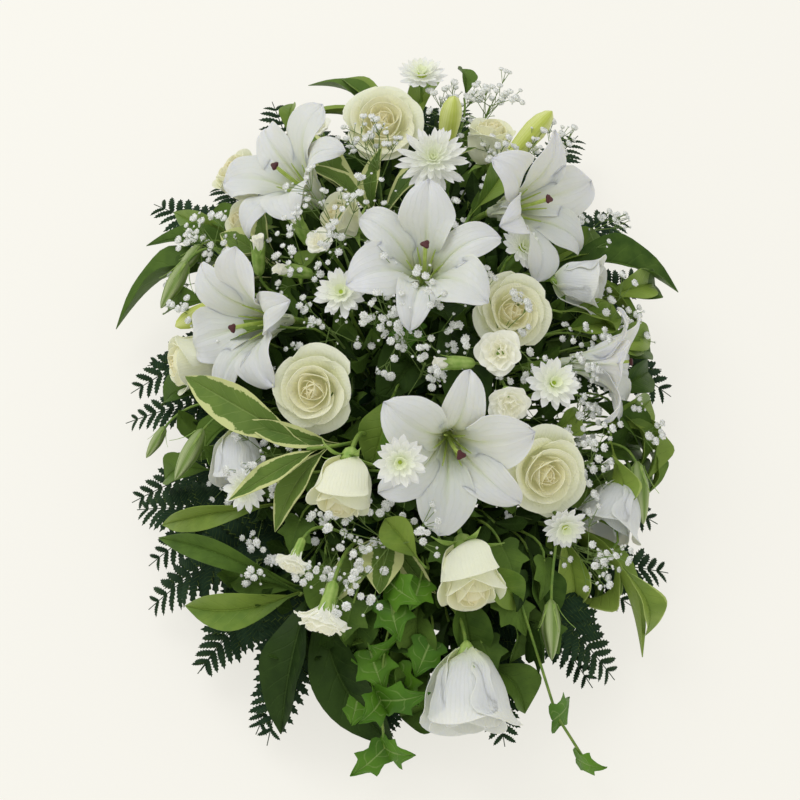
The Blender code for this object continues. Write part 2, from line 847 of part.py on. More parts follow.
def daisy_rays(petals, foot, radius, low, high, level, heart, back, turn=0.0):
    """A ring of ray petals with blunt tips, every other one shorter and higher, round a green button.
    heart and back are the heights of the button's top and of the point behind it."""
    rim = []
    for petal in range(petals):
        short = petal % 2
        reach, tip = radius * (1 - 0.2 * short), (low, high)[short]
        middle = turn + 360 * petal / petals
        rim.append(polar(foot, middle - 180 / petals, level))
        rim.append(polar(reach, middle - RAY_WIDE / petals, tip))
        rim.append(polar(reach, middle + RAY_WIDE / petals, tip))
    bm = bmesh.new()
    faces = []
    for side, apex in ((1, heart), (-1, back)):
        ring = [bm.verts.new(place + Vector((0, 0, side * PETAL_THICK / 2))) for place in rim]
        middle = bm.verts.new((0, 0, apex))
        faces.append(ring)
        for start in range(0, len(ring), 3):
            after = ring[(start + 3) % len(ring)]
            petal = (ring[start], ring[start + 1], ring[start + 2], after)
            bm.faces.new(petal if side > 0 else petal[::-1])
            green = bm.faces.new((middle, ring[start], after) if side > 0 else (middle, after, ring[start]))
            green.material_index = 1
    top, bottom = faces
    for number in range(len(rim)):
        after = (number + 1) % len(rim)
        bm.faces.new((bottom[number], bottom[after], top[after], top[number]))
    bmesh.ops.triangulate(bm, faces=bm.faces)
    return piece(mesh_of(bm), "flower_white", "fresh_green")


def daisy():
    """A chrysanthemum with two rows of rays round a green button."""
    return [daisy_rays(12, 8, 25, 9, 17, 8, 14, -6)]


def double_daisy():
    """A double chrysanthemum, with four rows of rays."""
    return [
        daisy_rays(14, 9, 35, 8, 16, 6, 12, -7),
        daisy_rays(10, 8, 24, 17, 24, 13, 19, 7, 8),
    ]


HEADS = {
    "lily_bud": lily_bud,
    "rose": rose,
    "half_rose": half_rose,
    "daisy": daisy,
    "double_daisy": double_daisy,
    "carnation": carnation,
    "carnation_bud": carnation_bud,
    "lisianthus": lisianthus,
    "lisianthus_bud": lisianthus_bud,
}


def build_flower(name, row):
    """A flower's node, with its stem and heads. A lily's tepals are a node of their own."""
    radius = STEM_RADIUS.get(row.kind, STEM_RADIUS_ELSE)
    line, pieces = None, []
    for place in row.heads:
        kind = place.kind or row.kind
        frame, axis = seat(place, DEPTH[kind]), aim(place.tilt, place.heading)
        if line is None:
            line = stem_line(frame.translation, axis, row.lead, row.shift)
            pieces.append(tube(line, radius, "stem_green"))
        else:
            stalk = stalk_line(frame.translation, axis, line, row.join)
            pieces.append(tube(stalk, radius * STALK_SHARE, "stem_green"))
        if kind == "lily":
            finished(f"{name}_tepals", carried(lily_tepals(), frame), frame.translation)
            pieces += carried(lily_pistil(), frame)
        else:
            pieces += carried(HEADS[kind](), frame)
    finished(f"{name}_stem" if row.kind == "lily" else name, pieces, line[-1])
    return line, radius


# Leaves

SPRIG_RADIUS, LEAF_SPACING = 2.0, 0.2
FROND_PAIRS, FROND_RIB, FROND_BARE, FROND_SWEEP = 6, 1.7, 0.4, 0.5
IVY_OUTLINE = ((0, 0), (0.46, 0.1), (0.28, 0.35), (0.46, 0.62), (0.16, 0.62), (0, 1))
FLORET_RADIUS, FLORET_LENGTH, FLORET_STALK, FLORET_CLEAR = 3.8, 6.0, 0.8, 5.0


def leaf_frame(foot, tip, roll):
    """The way along a leaf, across it, and out of its upper face, which looks away from the spray's middle."""
    along = (tip - foot).normalized()
    outward = Vector((tip.x + foot.x, (tip.y + foot.y) * 0.4, 260.0))
    across = along.cross(outward).normalized()
    across.rotate(Matrix.Rotation(math.radians(roll), 3, along))
    return along, across, across.cross(along)


def leaf_blade(foot, tip, width, roll, finish):
    """A leaf that is folded along its middle and arched along its length, with a long narrow foot."""
    along, across, face = leaf_frame(foot, tip, roll)
    length = (tip - foot).length

    def point(u, t):
        half = width / 2 * math.sin(math.pi * t**1.6) ** 0.8 if 0 < t < 1 else 0.0
        bow = length * 0.14 * math.sin(math.pi * t)
        return foot + along * length * t + across * u * half + face * (bow + 0.32 * abs(u) * half)

    return sheet(point, 2, 3, LEAF_THICK, finish)


def ivy_blade(foot, tip, width, roll, finish):
    """An ivy leaf of five lobes."""
    along, across, face = leaf_frame(foot, tip, roll)
    length = (tip - foot).length
    outline = [*IVY_OUTLINE, *[(-x, y) for x, y in IVY_OUTLINE[-2:0:-1]]]
    bm = bmesh.new()
    rim = [bm.verts.new(foot + across * x * width + along * y * length) for x, y in outline]
    middle = bm.verts.new(foot + along * length * 0.35 + face * length * 0.1)
    for number, vert in enumerate(rim):
        bm.faces.new((middle, vert, rim[(number + 1) % len(rim)]))
    return thickened(bm, LEAF_THICK, finish)


def frond(foot, tip, width, arch, finish):
    """A fern frond: one blade, arched and cut almost to its rib into pairs of leaflets."""
    run = tip - foot
    side = run.cross(Vector((0, 0, 1))).normalized()
    high = foot + run * 0.4 + Vector((0, 0, arch))

    def along(t):
        return foot * (1 - t) ** 2 + high * 2 * t * (1 - t) + tip * t * t

    bm = bmesh.new()
    start = bm.verts.new(foot)
    rib, step = [], (1 - FROND_BARE) / FROND_PAIRS
    for number in range(FROND_PAIRS + 1):
        place = along(FROND_BARE + step * number * 0.97)
        rib.append([bm.verts.new(place + side * FROND_RIB * way) for way in (-1, 1)])
    bm.faces.new((start, rib[0][0], rib[0][1]))
    for number in range(FROND_PAIRS):
        low, high_pair = rib[number], rib[number + 1]
        bm.faces.new((low[0], high_pair[0], high_pair[1], low[1]))
        reach = width / 2 * (1 - number / FROND_PAIRS) ** 0.75
        out = along(min(1.0, FROND_BARE + step * (number + 0.5 + FROND_SWEEP)))
        for k, way in enumerate((-1, 1)):
            end = bm.verts.new(out + side * reach * way - Vector((0, 0, reach * 0.15)))
            bm.faces.new((low[k], high_pair[k], end))
    bm.faces.new((rib[-1][0], bm.verts.new(tip), rib[-1][1]))
    bmesh.ops.recalc_face_normals(bm, faces=bm.faces)
    return thickened(bm, LEAF_THICK, finish)


BLADES = {"ivy_green": ivy_blade}


def build_sprig(name, row):
    """A leafy stem's node: its stem, and the leaves that leave it one after another below its hub."""
    hub = Vector(row.hub)
    middle = sum((Vector(leaf[:3]) for leaf in row.leaves), Vector()) / len(row.leaves)
    line = stem_line(hub, (middle - hub).normalized(), row.lead, row.shift)
    pieces = [tube(line, SPRIG_RADIUS, "stem_green")]
    for number, leaf in enumerate(row.leaves):
        foot = line[0].lerp(line[1], LEAF_SPACING * (number + 0.5))
        blade = BLADES.get(row.kind, leaf_blade)
        pieces.append(blade(foot, Vector(leaf[:3]), leaf.width, leaf.roll, leaf.finish or row.kind))
    finished(name, pieces, line[-1])
    return line, SPRIG_RADIUS


def build_fern(name, row):
    """A fern's node: fronds that spread from one stem."""
    hub = Vector(row.hub)
    middle = sum((Vector(leaf[:3]) for leaf in row.leaves), Vector()) / len(row.leaves)
    line = stem_line(hub, (middle - hub).normalized(), row.lead, row.shift)
    pieces = [tube(line, SPRIG_RADIUS, "stem_green")]
    for number, leaf in enumerate(row.leaves):
        foot = line[0].lerp(line[1], LEAF_SPACING * (number + 0.5))
        pieces.append(frond(foot, Vector(leaf[:3]), leaf.width, leaf.roll, row.kind))
    finished(name, pieces, line[-1])
    return line, SPRIG_RADIUS


def build_vine(name, row):
    """An ivy trail: a vine through its points, with a leaf from each of its joints."""
    points = [Vector(point) for point in row.points]
    line = stem_line(points[0], (points[1] - points[0]).normalized(), row.lead, row.shift)
    pieces = [tube([*reversed(points[1:]), *line[1:]], VINE_RADIUS, "stem_green")]
    for leaf in row.leaves:
        tip = Vector(leaf[:3])
        foot = min(points[1:], key=lambda point: (point - tip).length)
        pieces.append(ivy_blade(foot, tip, leaf.width, leaf.roll, leaf.finish or "ivy_green"))
    finished(name, pieces, line[-1])
    return line, VINE_RADIUS


def build_spray(name, row, others):
    """A gypsophila stem: small florets on thread-like stalks, which part round whatever else is there."""
    line, pieces, draw = None, [], random.Random(name)
    for top in row.tops:
        end = Vector(top)
        axis = Vector((end.x, end.y * 0.5, 200)).normalized()
        if line is None:
            line = trunk = stem_line(end, axis, row.lead, row.shift)
        else:
            trunk = stalk_line(end, axis, line, 2)
        pieces.append(tube(trunk, SPRAY_RADIUS if trunk is line else SPRAY_RADIUS * STALK_SHARE, "stem_green"))
        made = 0
        for _ in range(row.tries):
            root = trunk[0].lerp(trunk[1], draw.uniform(0.02, 0.6))
            way = Vector((draw.uniform(-1, 1), draw.uniform(-1, 1), draw.uniform(-0.4, 0.8)))
            way = (way.normalized() + axis * 0.9).normalized()
            length = row.reach * draw.uniform(0.6, 1.0)
            tip = root + way * length
            crossed = any(tree.ray_cast(root, way, length + FLORET_RADIUS)[0] for tree in others)
            if made < row.florets and not crossed and all(
                tree.find_nearest(tip, FLORET_RADIUS + FLORET_CLEAR)[0] is None for tree in others
            ):
                rows = (
                    (0, 0),
                    (FLORET_STALK, length - FLORET_LENGTH),
                    (FLORET_RADIUS, length - FLORET_LENGTH * 0.4),
                    (0, length),
                )
                floret = turned(rows, 3, "flower_white")
                turn = Matrix.Translation(root) @ way.to_track_quat("Z", "Y").to_matrix().to_4x4()
                pieces += carried([floret], turn)
                made += 1
    finished(name, pieces, line[-1])
    return line, SPRAY_RADIUS


# The holder


def block(size, middle, corner):
    """A block with rounded upright corners."""
    bm = bmesh.new()
    bmesh.ops.create_cube(bm, size=1.0)
    bmesh.ops.scale(bm, verts=bm.verts, vec=size)
    bmesh.ops.translate(bm, verts=bm.verts, vec=(0, 0, middle))
    upright = [e for e in bm.edges if abs(e.verts[0].co.z - e.verts[1].co.z) > WELD]
    bmesh.ops.bevel(bm, geom=upright, offset=corner, segments=2, profile=0.5, affect="EDGES")
    return mesh_of(bm)


def tape(place):
    """A tape over the foam, down to its ends on the outside of the tray's lip."""
    side, top = FOAM_WIDTH / 2 + GAP + TAPE_THICK / 2, FOAM_TOP + GAP + TAPE_THICK / 2
    edge = TRAY_WIDTH / 2 + TRAY_LIP + GAP + TAPE_THICK / 2
    above = TRAY_HEIGHT + GAP + TAPE_THICK / 2
    half = [(side, top), (side, above + 6), (edge, above), (edge, TRAY_HEIGHT - 14)]
    line = [(-x, z) for x, z in reversed(half)] + half

    def point(u, t):
        x, z = line[round(t * (len(line) - 1))]
        return Vector((x, place + u * TAPE_WIDTH / 2, z))

    return sheet(point, 1, len(line) - 1, TAPE_THICK, "tape")


def build_holder():
    """The tray, and the two tapes that hold the foam in it."""
    outer = Vector((TRAY_WIDTH, TRAY_LENGTH, TRAY_HEIGHT))
    tray = piece(block(outer, TRAY_HEIGHT / 2, TRAY_CORNER), "tray_plastic")
    lip_size = Vector((TRAY_WIDTH + 2 * TRAY_LIP, TRAY_LENGTH + 2 * TRAY_LIP, TRAY_WALL))
    lip = piece(block(lip_size, TRAY_HEIGHT - TRAY_WALL / 2, TRAY_CORNER + TRAY_LIP), "tray_plastic")
    inside = Vector((TRAY_WIDTH - 2 * TRAY_WALL, TRAY_LENGTH - 2 * TRAY_WALL, TRAY_HEIGHT))
    hollow = piece(block(inside, TRAY_FLOOR + TRAY_HEIGHT / 2, TRAY_CORNER - TRAY_WALL), "tray_plastic")
    combined(tray, [lip], "UNION")
    finished("tray", [combined(tray, [hollow], "DIFFERENCE")])
    finished("tape_front", [tape(-TAPE_PLACE)])
    finished("tape_back", [tape(TAPE_PLACE)])


def build_foam(stems):
    """The block of wet foam, with a plain hole for each stem."""
    size = Vector((FOAM_WIDTH, FOAM_LENGTH, FOAM_HEIGHT))
    foam = piece(block(size, FOAM_FOOT + FOAM_HEIGHT / 2, FOAM_EDGE), "foam")
    cutters = []
    for line, radius in stems:
        end, mouth = line[-1], line[-2]
        way = (mouth - end).normalized()
        wide = (radius + GAP) / math.cos(math.pi / HOLE_SIDES)
        cutters.append(rod(end - way * HOLE_SPARE, mouth + way * 4, wide, HOLE_SIDES, "foam"))
    finished("foam_block", [combined(foam, cutters, "DIFFERENCE")])


def start_scene():
    """An empty scene with a collection for the spray and one for loose pieces."""
    for obj in list(bpy.data.objects):
        bpy.data.objects.remove(obj)
    for name in ("casket_spray", "pieces"):
        bpy.context.scene.collection.children.link(bpy.data.collections.new(name))
    bpy.data.collections["casket_spray"].objects.link(bpy.data.objects.new("casket_spray", None))


def surface(obj):
    """The surface of a finished object, in millimetres, to measure from."""
    bm = bmesh.new()
    bm.from_mesh(obj.data)
    bm.transform(Matrix.Scale(1 / MM, 4) @ Matrix.Translation(obj.location))
    tree = BVHTree.FromBMesh(bm)
    bm.free()
    return tree


def surfaces():
    """The surfaces of all the finished objects."""
    return [surface(obj) for obj in bpy.data.collections["casket_spray"].objects if obj.type == "MESH"]


def main():
    start_scene()
    build_holder()
    stems = [build_flower(name, row) for name, row in FLOWERS.items()]
    stems += [build_sprig(name, row) for name, row in SPRIGS.items()]
    stems += [build_fern(name, row) for name, row in FERNS.items()]
    stems += [build_vine(name, row) for name, row in VINES.items()]
    others = surfaces()
    for name, row in SPRAYS.items():
        stems.append(build_spray(name, row, others))
        others.append(surface(bpy.data.objects[name]))
    build_foam(stems)
    bpy.data.collections.remove(bpy.data.collections["pieces"])


if __name__ == "__main__":
    main()
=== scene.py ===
"""The looks of a casket spray: lilies, roses, carnations, chrysanthemums, lisianthus and gypsophila over
ferns, broad leaves and ivy, in a taped block of wet foam on a long tray.

Every stem starts from the same tables and the same lines as the solid model, so each flower and leaf stands
where its solid stands. Sizes and places are in millimetres until a mesh is made into an object. A place is
the middle of a flower's face, a lean is an angle from straight up, and a heading of 0 leans to the front.
"""

import logging
import math
import zlib
from dataclasses import dataclass, replace
from enum import Enum
from typing import Any, Callable, Mapping, NamedTuple, Sequence

import bpy
import numpy as np
from mathutils import Matrix, Vector


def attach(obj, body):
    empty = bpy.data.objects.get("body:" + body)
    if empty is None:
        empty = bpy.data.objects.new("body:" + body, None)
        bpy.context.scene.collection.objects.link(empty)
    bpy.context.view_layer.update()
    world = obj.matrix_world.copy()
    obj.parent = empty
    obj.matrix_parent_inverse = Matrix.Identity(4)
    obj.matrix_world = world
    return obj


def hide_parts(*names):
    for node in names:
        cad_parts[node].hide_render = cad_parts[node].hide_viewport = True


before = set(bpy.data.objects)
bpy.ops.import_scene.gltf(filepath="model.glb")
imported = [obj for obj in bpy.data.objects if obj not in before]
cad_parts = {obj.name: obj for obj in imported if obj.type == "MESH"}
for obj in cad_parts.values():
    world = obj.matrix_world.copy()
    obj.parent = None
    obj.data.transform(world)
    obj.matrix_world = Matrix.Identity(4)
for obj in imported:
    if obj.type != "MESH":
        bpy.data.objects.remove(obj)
LOG = logging.getLogger("casket_spray")

MM = 0.001
GOLDEN = 137.508  # the turn from one petal or leaf to the next, in degrees
SHARP_ANGLE = 55  # the least angle between two faces that shows as an edge, in degrees
SEPALS = 5
MIDRIB_STEPS = 96  # the steps in which a petal's lean is added up along it
FLAT = 1e-4  # the least bend of a petal's edges, as one over a radius
MOST_WRAP = 2.2  # how far a petal's edges may bend round, in radians
UNEVEN = 0.16  # how far the roughness of a finish goes up and down in all
Grid = np.ndarray
Rng = np.random.Generator
Given = Mapping[Any, Any] | None


def drawn(name: str) -> Rng:
    """Returns a source of random numbers that is the same in every run for a name."""
    return np.random.default_rng(zlib.crc32(name.encode()))


def seed_of(rng: Rng) -> int:
    """Returns a seed for the chances of a tree."""
    return int(rng.integers(1, 9999))


def added(name: str, data: bpy.types.ID) -> bpy.types.Object:
    """Returns a new object of the scene."""
    made = bpy.data.objects.new(name, data)
    bpy.context.scene.collection.objects.link(made)
    return made


def curve(*stops: tuple[float, float], size: float = 1.0) -> Callable[[Any], Any]:
    """Makes a smooth curve through stops.

    Args:
        stops: Its places in rising order, each with its value.
        size: What every value is multiplied by.

    Returns:
        A function of one place or of an array of them, level at every stop.
    """
    places, values = np.array(stops, float).T

    def read(at: Any) -> Any:
        """Returns the value at each place."""
        at = np.clip(at, places[0], places[-1])
        low = np.clip(np.searchsorted(places, at, side="right") - 1, 0, len(places) - 2)
        share = (at - places[low]) / (places[low + 1] - places[low])
        share = share * share * (3 - 2 * share)
        return size * (values[low] * (1 - share) + values[low + 1] * share)

    return read


# Shader and geometry trees


class Sock:
    """A node's output that takes part in arithmetic: each operation adds its Math node."""

    def __init__(self, web: "Web", socket: bpy.types.NodeSocket) -> None:
        """Keeps the socket and the tree that it is in."""
        self.web = web
        self.socket = socket

    @staticmethod
    def operator(operation: str, turned: bool = False) -> Callable[["Sock", Any], "Sock"]:
        """Makes a method that adds a Math node.

        Args:
            operation: What the node does.
            turned: Whether it takes its operands the other way round.

        Returns:
            The method.
        """

        def method(self: "Sock", other: Any) -> "Sock":
            """Returns the node's result."""
            terms = (other, self) if turned else (self, other)
            return self.web.math(operation, *terms)

        return method

    __add__ = operator("ADD")
    __radd__ = operator("ADD", True)
    __sub__ = operator("SUBTRACT")
    __rsub__ = operator("SUBTRACT", True)
    __mul__ = operator("MULTIPLY")
    __rmul__ = operator("MULTIPLY", True)
    __truediv__ = operator("DIVIDE")
    __pow__ = operator("POWER")
    __gt__ = operator("GREATER_THAN")

    def __abs__(self) -> "Sock":
        """Returns the size of self."""
        return self.web.math("ABSOLUTE", self)

    def sine(self) -> "Sock":
        """Returns the sine of self, in radians."""
        return self.web.math("SINE", self)

    def fraction(self) -> "Sock":
        """Returns what is left of self above a whole number."""
        return self.web.math("FRACT", self)

    def rising(self, low: float, high: float) -> "Sock":
        """Returns 0 below low and 1 above high, and a smooth rise between them."""
        settings = {"interpolation_type": "SMOOTHSTEP"}
        values = {"Value": self, "From Min": low, "From Max": high}
        return self.web.out("ShaderNodeMapRange", settings, values)


class Web:
    """A node tree that is built node by node, for a material or for a mesh."""

    def __init__(self, tree: bpy.types.NodeTree) -> None:
        """Starts on an empty tree."""
        self.tree = tree

    @classmethod
    def of(cls, owner: Any) -> "Web":
        """Returns the emptied tree of a material or of the world."""
        owner.use_nodes = True
        owner.node_tree.nodes.clear()
        return cls(owner.node_tree)

    def node(self, kind: str, settings: Given = None, values: Given = None) -> bpy.types.Node:
        """Adds a node.

        Args:
            kind: The node's type.
            settings: What it does, such as a Math node's operation. They are set first.
            values: A number, colour or link for each socket, by its identifier, its name or its number.

        Returns:
            The node.
        """
        node = self.tree.nodes.new(kind)
        for name, value in (settings or {}).items():
            setattr(node, name, value)
        for key, value in (values or {}).items():
            socket = self.socket(node.inputs, key)
            if isinstance(value, Sock):
                self.tree.links.new(value.socket, socket)
            elif isinstance(value, tuple) and len(value) == 3 and socket.type == "RGBA":
                socket.default_value = (*value, 1.0)
            else:
                socket.default_value = value
        return node

    @staticmethod
    def socket(sockets: Any, key: Any) -> bpy.types.NodeSocket:
        """Finds a socket.

        Args:
            sockets: A node's inputs or its outputs.
            key: The socket's number, its identifier or its name.

        Returns:
            The socket.
        """
        if isinstance(key, int):
            return sockets[key]
        for socket in sockets:
            if socket.identifier == key:
                return socket
        return sockets[key]

    def out(self, kind: str, settings: Given = None, values: Given = None, key: Any = 0) -> Sock:
        """Adds a node, and returns one of its outputs, the first unless key says another."""
        return Sock(self, self.socket(self.node(kind, settings, values).outputs, key))

    def math(self, operation: str, *terms: Any) -> Sock:
        """Adds a Math node and returns its result."""
        return self.out("ShaderNodeMath", {"operation": operation}, dict(enumerate(terms)))

    def mixed(self, share: Any, first: Any, second: Any) -> Sock:
        """Returns a colour that goes from the first to the second."""
        values = {"Factor_Float": share, "A_Color": first, "B_Color": second}
        return self.out("ShaderNodeMix", {"data_type": "RGBA"}, values, "Result_Color")

    def noise(self, scale: float, detail: float = 2.0) -> Sock:
        """Returns noise about one half, with so many features to the metre."""
        place = self.out("ShaderNodeTexCoord", key="Object")
        return self.out("ShaderNodeTexNoise", None, {"Vector": place, "Scale": scale, "Detail": detail})


# Finishes


class Hue:
    """The colours of this spray, as linear values."""

    IVORY = (0.80, 0.82, 0.63)
    PEACH = (0.82, 0.76, 0.46)
    CREAM = (0.86, 0.84, 0.66)
    WHITE = (0.82, 0.83, 0.80)
    BRUISE = (0.62, 0.64, 0.58)
    PAINTED_SPECKLE_SHADE = (0.36, 0.40, 0.30)
    FOOT_GREEN = (0.50, 0.62, 0.14)
    LIME = (0.38, 0.52, 0.07)
    FRESH = (0.245, 0.345, 0.058)
    STEM = (0.10, 0.21, 0.03)
    CREAM_EDGE = (0.60, 0.64, 0.28)
    LEAF = (0.066, 0.150, 0.017)
    LEAF_VEIN = (0.25, 0.36, 0.06)
    DEEP_GREEN_AND_SHADE = (0.006, 0.017, 0.004)
    FERN = (0.010, 0.028, 0.013)
    IVY = (0.055, 0.155, 0.011)
    STIGMA = (0.055, 0.012, 0.016)


@dataclass(frozen=True)
class Finish:
    """What every finish has: a name, how rough and shiny it is, how much light passes through it, and how
    much painted glow it gives off.
    """

    name: str
    roughness: float = 0.5
    glow: float = 0.0
    coat: float = 0.0
    shine: float = 0.3
    painted_glow: float = 0.0  # painted light: a glow of its own colour that it gives off, as a share of its colour, which brightens its shaded parts though it is no lamp
    thick: float = 0.5  # the thickness of its petals or leaves, in millimetres

    def shade(self, web: Web) -> tuple[Sock, Sock]:
        """Shades the finish.

        Args:
            web: The material's tree.

        Returns:
            The colour, and the relief in millimetres.
        """
        raise NotImplementedError

    def material(self) -> bpy.types.Material:
        """Returns the material, made the first time it is asked for."""
        made = bpy.data.materials.get(self.name)
        if made:
            return made
        made = bpy.data.materials.new(self.name)
        web = Web.of(made)
        colour, relief = self.shade(web)
        values = {
            "Base Color": colour,
            "Roughness": web.noise(220.0) * UNEVEN + (self.roughness - UNEVEN / 2),
            "Subsurface Weight": self.glow,
            "Subsurface Radius": (1.0, 0.9, 0.6),
            "Subsurface Scale": 0.004,
            "Coat Weight": self.coat,
            "Coat Roughness": 0.25,
            "Specular IOR Level": self.shine,
            # painted light: the finish glows in its own colour, which lifts its shade
            "Emission Color": colour,
            "Emission Strength": self.painted_glow,
            "Normal": web.out("ShaderNodeBump", None, {"Strength": 0.6, "Distance": MM, "Height": relief}),
        }
        shader = web.out("ShaderNodeBsdfPrincipled", None, values)
        web.node("ShaderNodeOutputMaterial", None, {"Surface": shader})
        return made


def sheet_place(web: Web) -> tuple[Sock, Sock, Sock]:
    """Reads the uvs of a sheet.

    Args:
        web: The material's tree.

    Returns:
        The place across it from 0 to 1, the place along it, and 1 on its back.
    """
    spot = web.out("ShaderNodeUVMap", {"uv_map": "sheet"})
    parts = web.node("ShaderNodeSeparateXYZ", None, {0: spot})
    wide = Sock(web, parts.outputs[0])
    back = wide > 1.5
    return wide - back * 2.0, Sock(web, parts.outputs[1]), back


def tone_of(web: Web) -> Sock:
    """Returns the shade number that each petal and leaf carries, from 0 to 1."""
    return web.out("ShaderNodeAttribute", {"attribute_name": "tone"}, key="Fac")


@dataclass(frozen=True)
class PetalFinish(Finish):
    """A petal: its own colour, another at its foot and another in the heart, with fine veins along it."""

    colour: tuple = Hue.WHITE
    foot: tuple = Hue.FOOT_GREEN
    heart: tuple = Hue.WHITE
    foot_reach: float = 0.3
    foot_share: float = 1.0
    veins: float = 14.0
    vein_share: float = 0.12
    midrib: float = 0.0
    back_share: float = 0.25
    # painted shade: grey specks, as the shade between a floret's tiny petals
    painted_speckle_shade: float = 0.0

    def shade(self, web: Web) -> tuple[Sock, Sock]:
        """Returns the colour and the relief."""
        across, along, back = sheet_place(web)
        patch = web.noise(90.0)
        fine = web.noise(700.0, 3.0)
        wobble = web.noise(60.0) * 1.6
        lines = (1.0 - abs((across * (math.pi * self.veins) + wobble).sine())) ** 3.0
        middle = 1.0 - abs(across - 0.5).rising(0.0, 0.09)
        fade = 1.0 - along.rising(0.0, self.foot_reach)
        colour = web.mixed(tone_of(web), self.heart, self.colour)
        for share in (
            lines * (1.0 - along * 0.6) * self.vein_share,
            middle * (1.0 - along.rising(0.3, 0.9)) * self.midrib,
            fade * (0.5 + patch * 0.5) * self.foot_share,
            back * (1.0 - along) * self.back_share,
        ):
            colour = web.mixed(share, colour, self.foot)
        colour = web.mixed(patch.rising(0.25, 0.8) * 0.12, colour, Hue.BRUISE)
        # painted shade: grey specks, as the shade between a floret's tiny petals
        if self.painted_speckle_shade:
            colour = web.mixed(fine.rising(0.42, 0.62) * self.painted_speckle_shade, colour, Hue.PAINTED_SPECKLE_SHADE)
        return colour, lines * 0.35 + fine * 0.12 + patch * 0.5


@dataclass(frozen=True)
class LeafFinish(Finish):
    """A leaf: green with a paler midrib, side veins, and where it has one a cream edge."""

    thick: float = 0.6
    colour: tuple = Hue.LEAF
    light: tuple = Hue.FRESH
    vein: tuple = Hue.LIME
    edge: tuple = Hue.CREAM_EDGE
    edge_share: float = 0.0
    vein_share: float = 0.35
    veins: float = 9.0
    slant: float = 1.5
    painted_lit_half: float = 0.0  # painted light: how much lighter one half of it is painted, as the lit side of a folded leaf
    rim_at: float = 0.72  # where its pale edge starts, from 0 on the midrib to 1

    def rim(self, web: Web, away: Sock, patch: Sock, fine: Sock) -> Sock:
        """Finds the pale edge, which is torn where it starts.

        Args:
            web: The material's tree.
            away: The way from the midrib, from 0 to 1 at the edge.
            patch: Broad noise.
            fine: Fine noise.

        Returns:
            1 on the pale edge and 0 inside it.
        """
        ragged = 1.0 - self.rim_at
        torn = (patch - 0.5) * (2.0 * ragged) + (fine - 0.5) * (0.6 * ragged)
        torn = torn + (web.noise(26.0, 1.0) - 0.5) * (4.0 * ragged)
        return (away + torn).rising(self.rim_at, self.rim_at + 0.05)

    def shade(self, web: Web) -> tuple[Sock, Sock]:
        """Returns the colour and the relief."""
        across, along, back = sheet_place(web)
        tone = tone_of(web)
        away = abs(across - 0.5) * 2.0
        patch = web.noise(55.0, 3.0)
        fine = web.noise(420.0)
        rib = 1.0 - away.rising(0.02, 0.085)
        comb = (along * self.veins - away * self.slant + patch * 0.35).fraction()
        side = (1.0 - abs(comb - 0.5).rising(0.0, 0.09)) * (1.0 - away.rising(0.55, 0.95))
        colour = web.mixed(tone * 0.6 + patch.rising(0.25, 0.75) * 0.4, self.colour, self.light)
        # painted shade: the leaf darkens towards its foot, where it lies among the others
        depth = tuple(part * 0.55 for part in self.colour)
        colour = web.mixed((1.0 - along.rising(0.05, 0.6)) * (0.2 + patch * 0.5), colour, depth)
        colour = web.mixed(side * (self.vein_share * 0.6), colour, self.vein)
        # painted light: one half of the leaf is painted lighter, as the lit side of its fold
        half = (across > 0.5) * (self.painted_lit_half * 0.5 + tone * self.painted_lit_half * 0.5)
        colour = web.mixed(half, colour, self.light)
        if self.edge_share > 0:
            colour = web.mixed(self.rim(web, away, patch, fine) * self.edge_share, colour, self.edge)
        colour = web.mixed(rib * self.vein_share, colour, self.vein)
        colour = web.mixed(back * 0.35, colour, self.light)
        return colour, 0.0 - rib * 0.9 - side * 0.5 + fine * 0.18


@dataclass(frozen=True)
class StemFinish(Finish):
    """A stem or a green bud: streaked along its length and a little uneven."""

    colour: tuple = Hue.STEM
    light: tuple = Hue.FRESH
    streaks: float = 7.0

    def shade(self, web: Web) -> tuple[Sock, Sock]:
        """Returns the colour and the relief."""
        across, _, _ = sheet_place(web)
        patch = web.noise(120.0, 3.0)
        streak = abs((across * (math.pi * self.streaks)).sine()) ** 2.0
        colour = web.mixed(patch.rising(0.3, 0.7) * 0.6 + streak * 0.35, self.colour, self.light)
        return colour, streak * 0.3 + web.noise(900.0) * 0.15


@dataclass(frozen=True)
class BudFinish(Finish):
    """A closed bud: pale along its ridges, and greener in its furrows and at its foot."""

    colour: tuple = Hue.LIME
    ridge: tuple = Hue.IVORY
    ridges: float = 3.0
    share: float = 0.5

    def shade(self, web: Web) -> tuple[Sock, Sock]:
        """Returns the colour and the relief."""
        across, along, _ = sheet_place(web)
        patch = web.noise(150.0, 3.0)
        turn = across * (math.pi * self.ridges)
        crest = abs(turn.sine()) ** 1.6
        lines = abs((turn * 7.0 + patch).sine()) ** 4.0
        pale = crest * (0.35 + along * 0.65) * self.share + (lines - 0.5) * 0.16
        colour = web.mixed(pale, self.colour, self.ridge)
        return colour, lines * 0.25 + patch * 0.2


@dataclass(frozen=True)
class GrainFinish(Finish):
    """A pitted or grained stuff, such as foam or plastic."""

    colour: tuple = Hue.DEEP_GREEN_AND_SHADE
    light: tuple = Hue.STEM
    scale: float = 700.0
    depth: float = 0.4

    def shade(self, web: Web) -> tuple[Sock, Sock]:
        """Returns the colour and the relief."""
        broad = web.noise(30.0, 3.0)
        grain = web.noise(self.scale, 4.0)
        colour = web.mixed(broad.rising(0.3, 0.7) * 0.6 + grain * 0.3, self.colour, self.light)
        return colour, grain * self.depth + broad * (self.depth * 0.3)


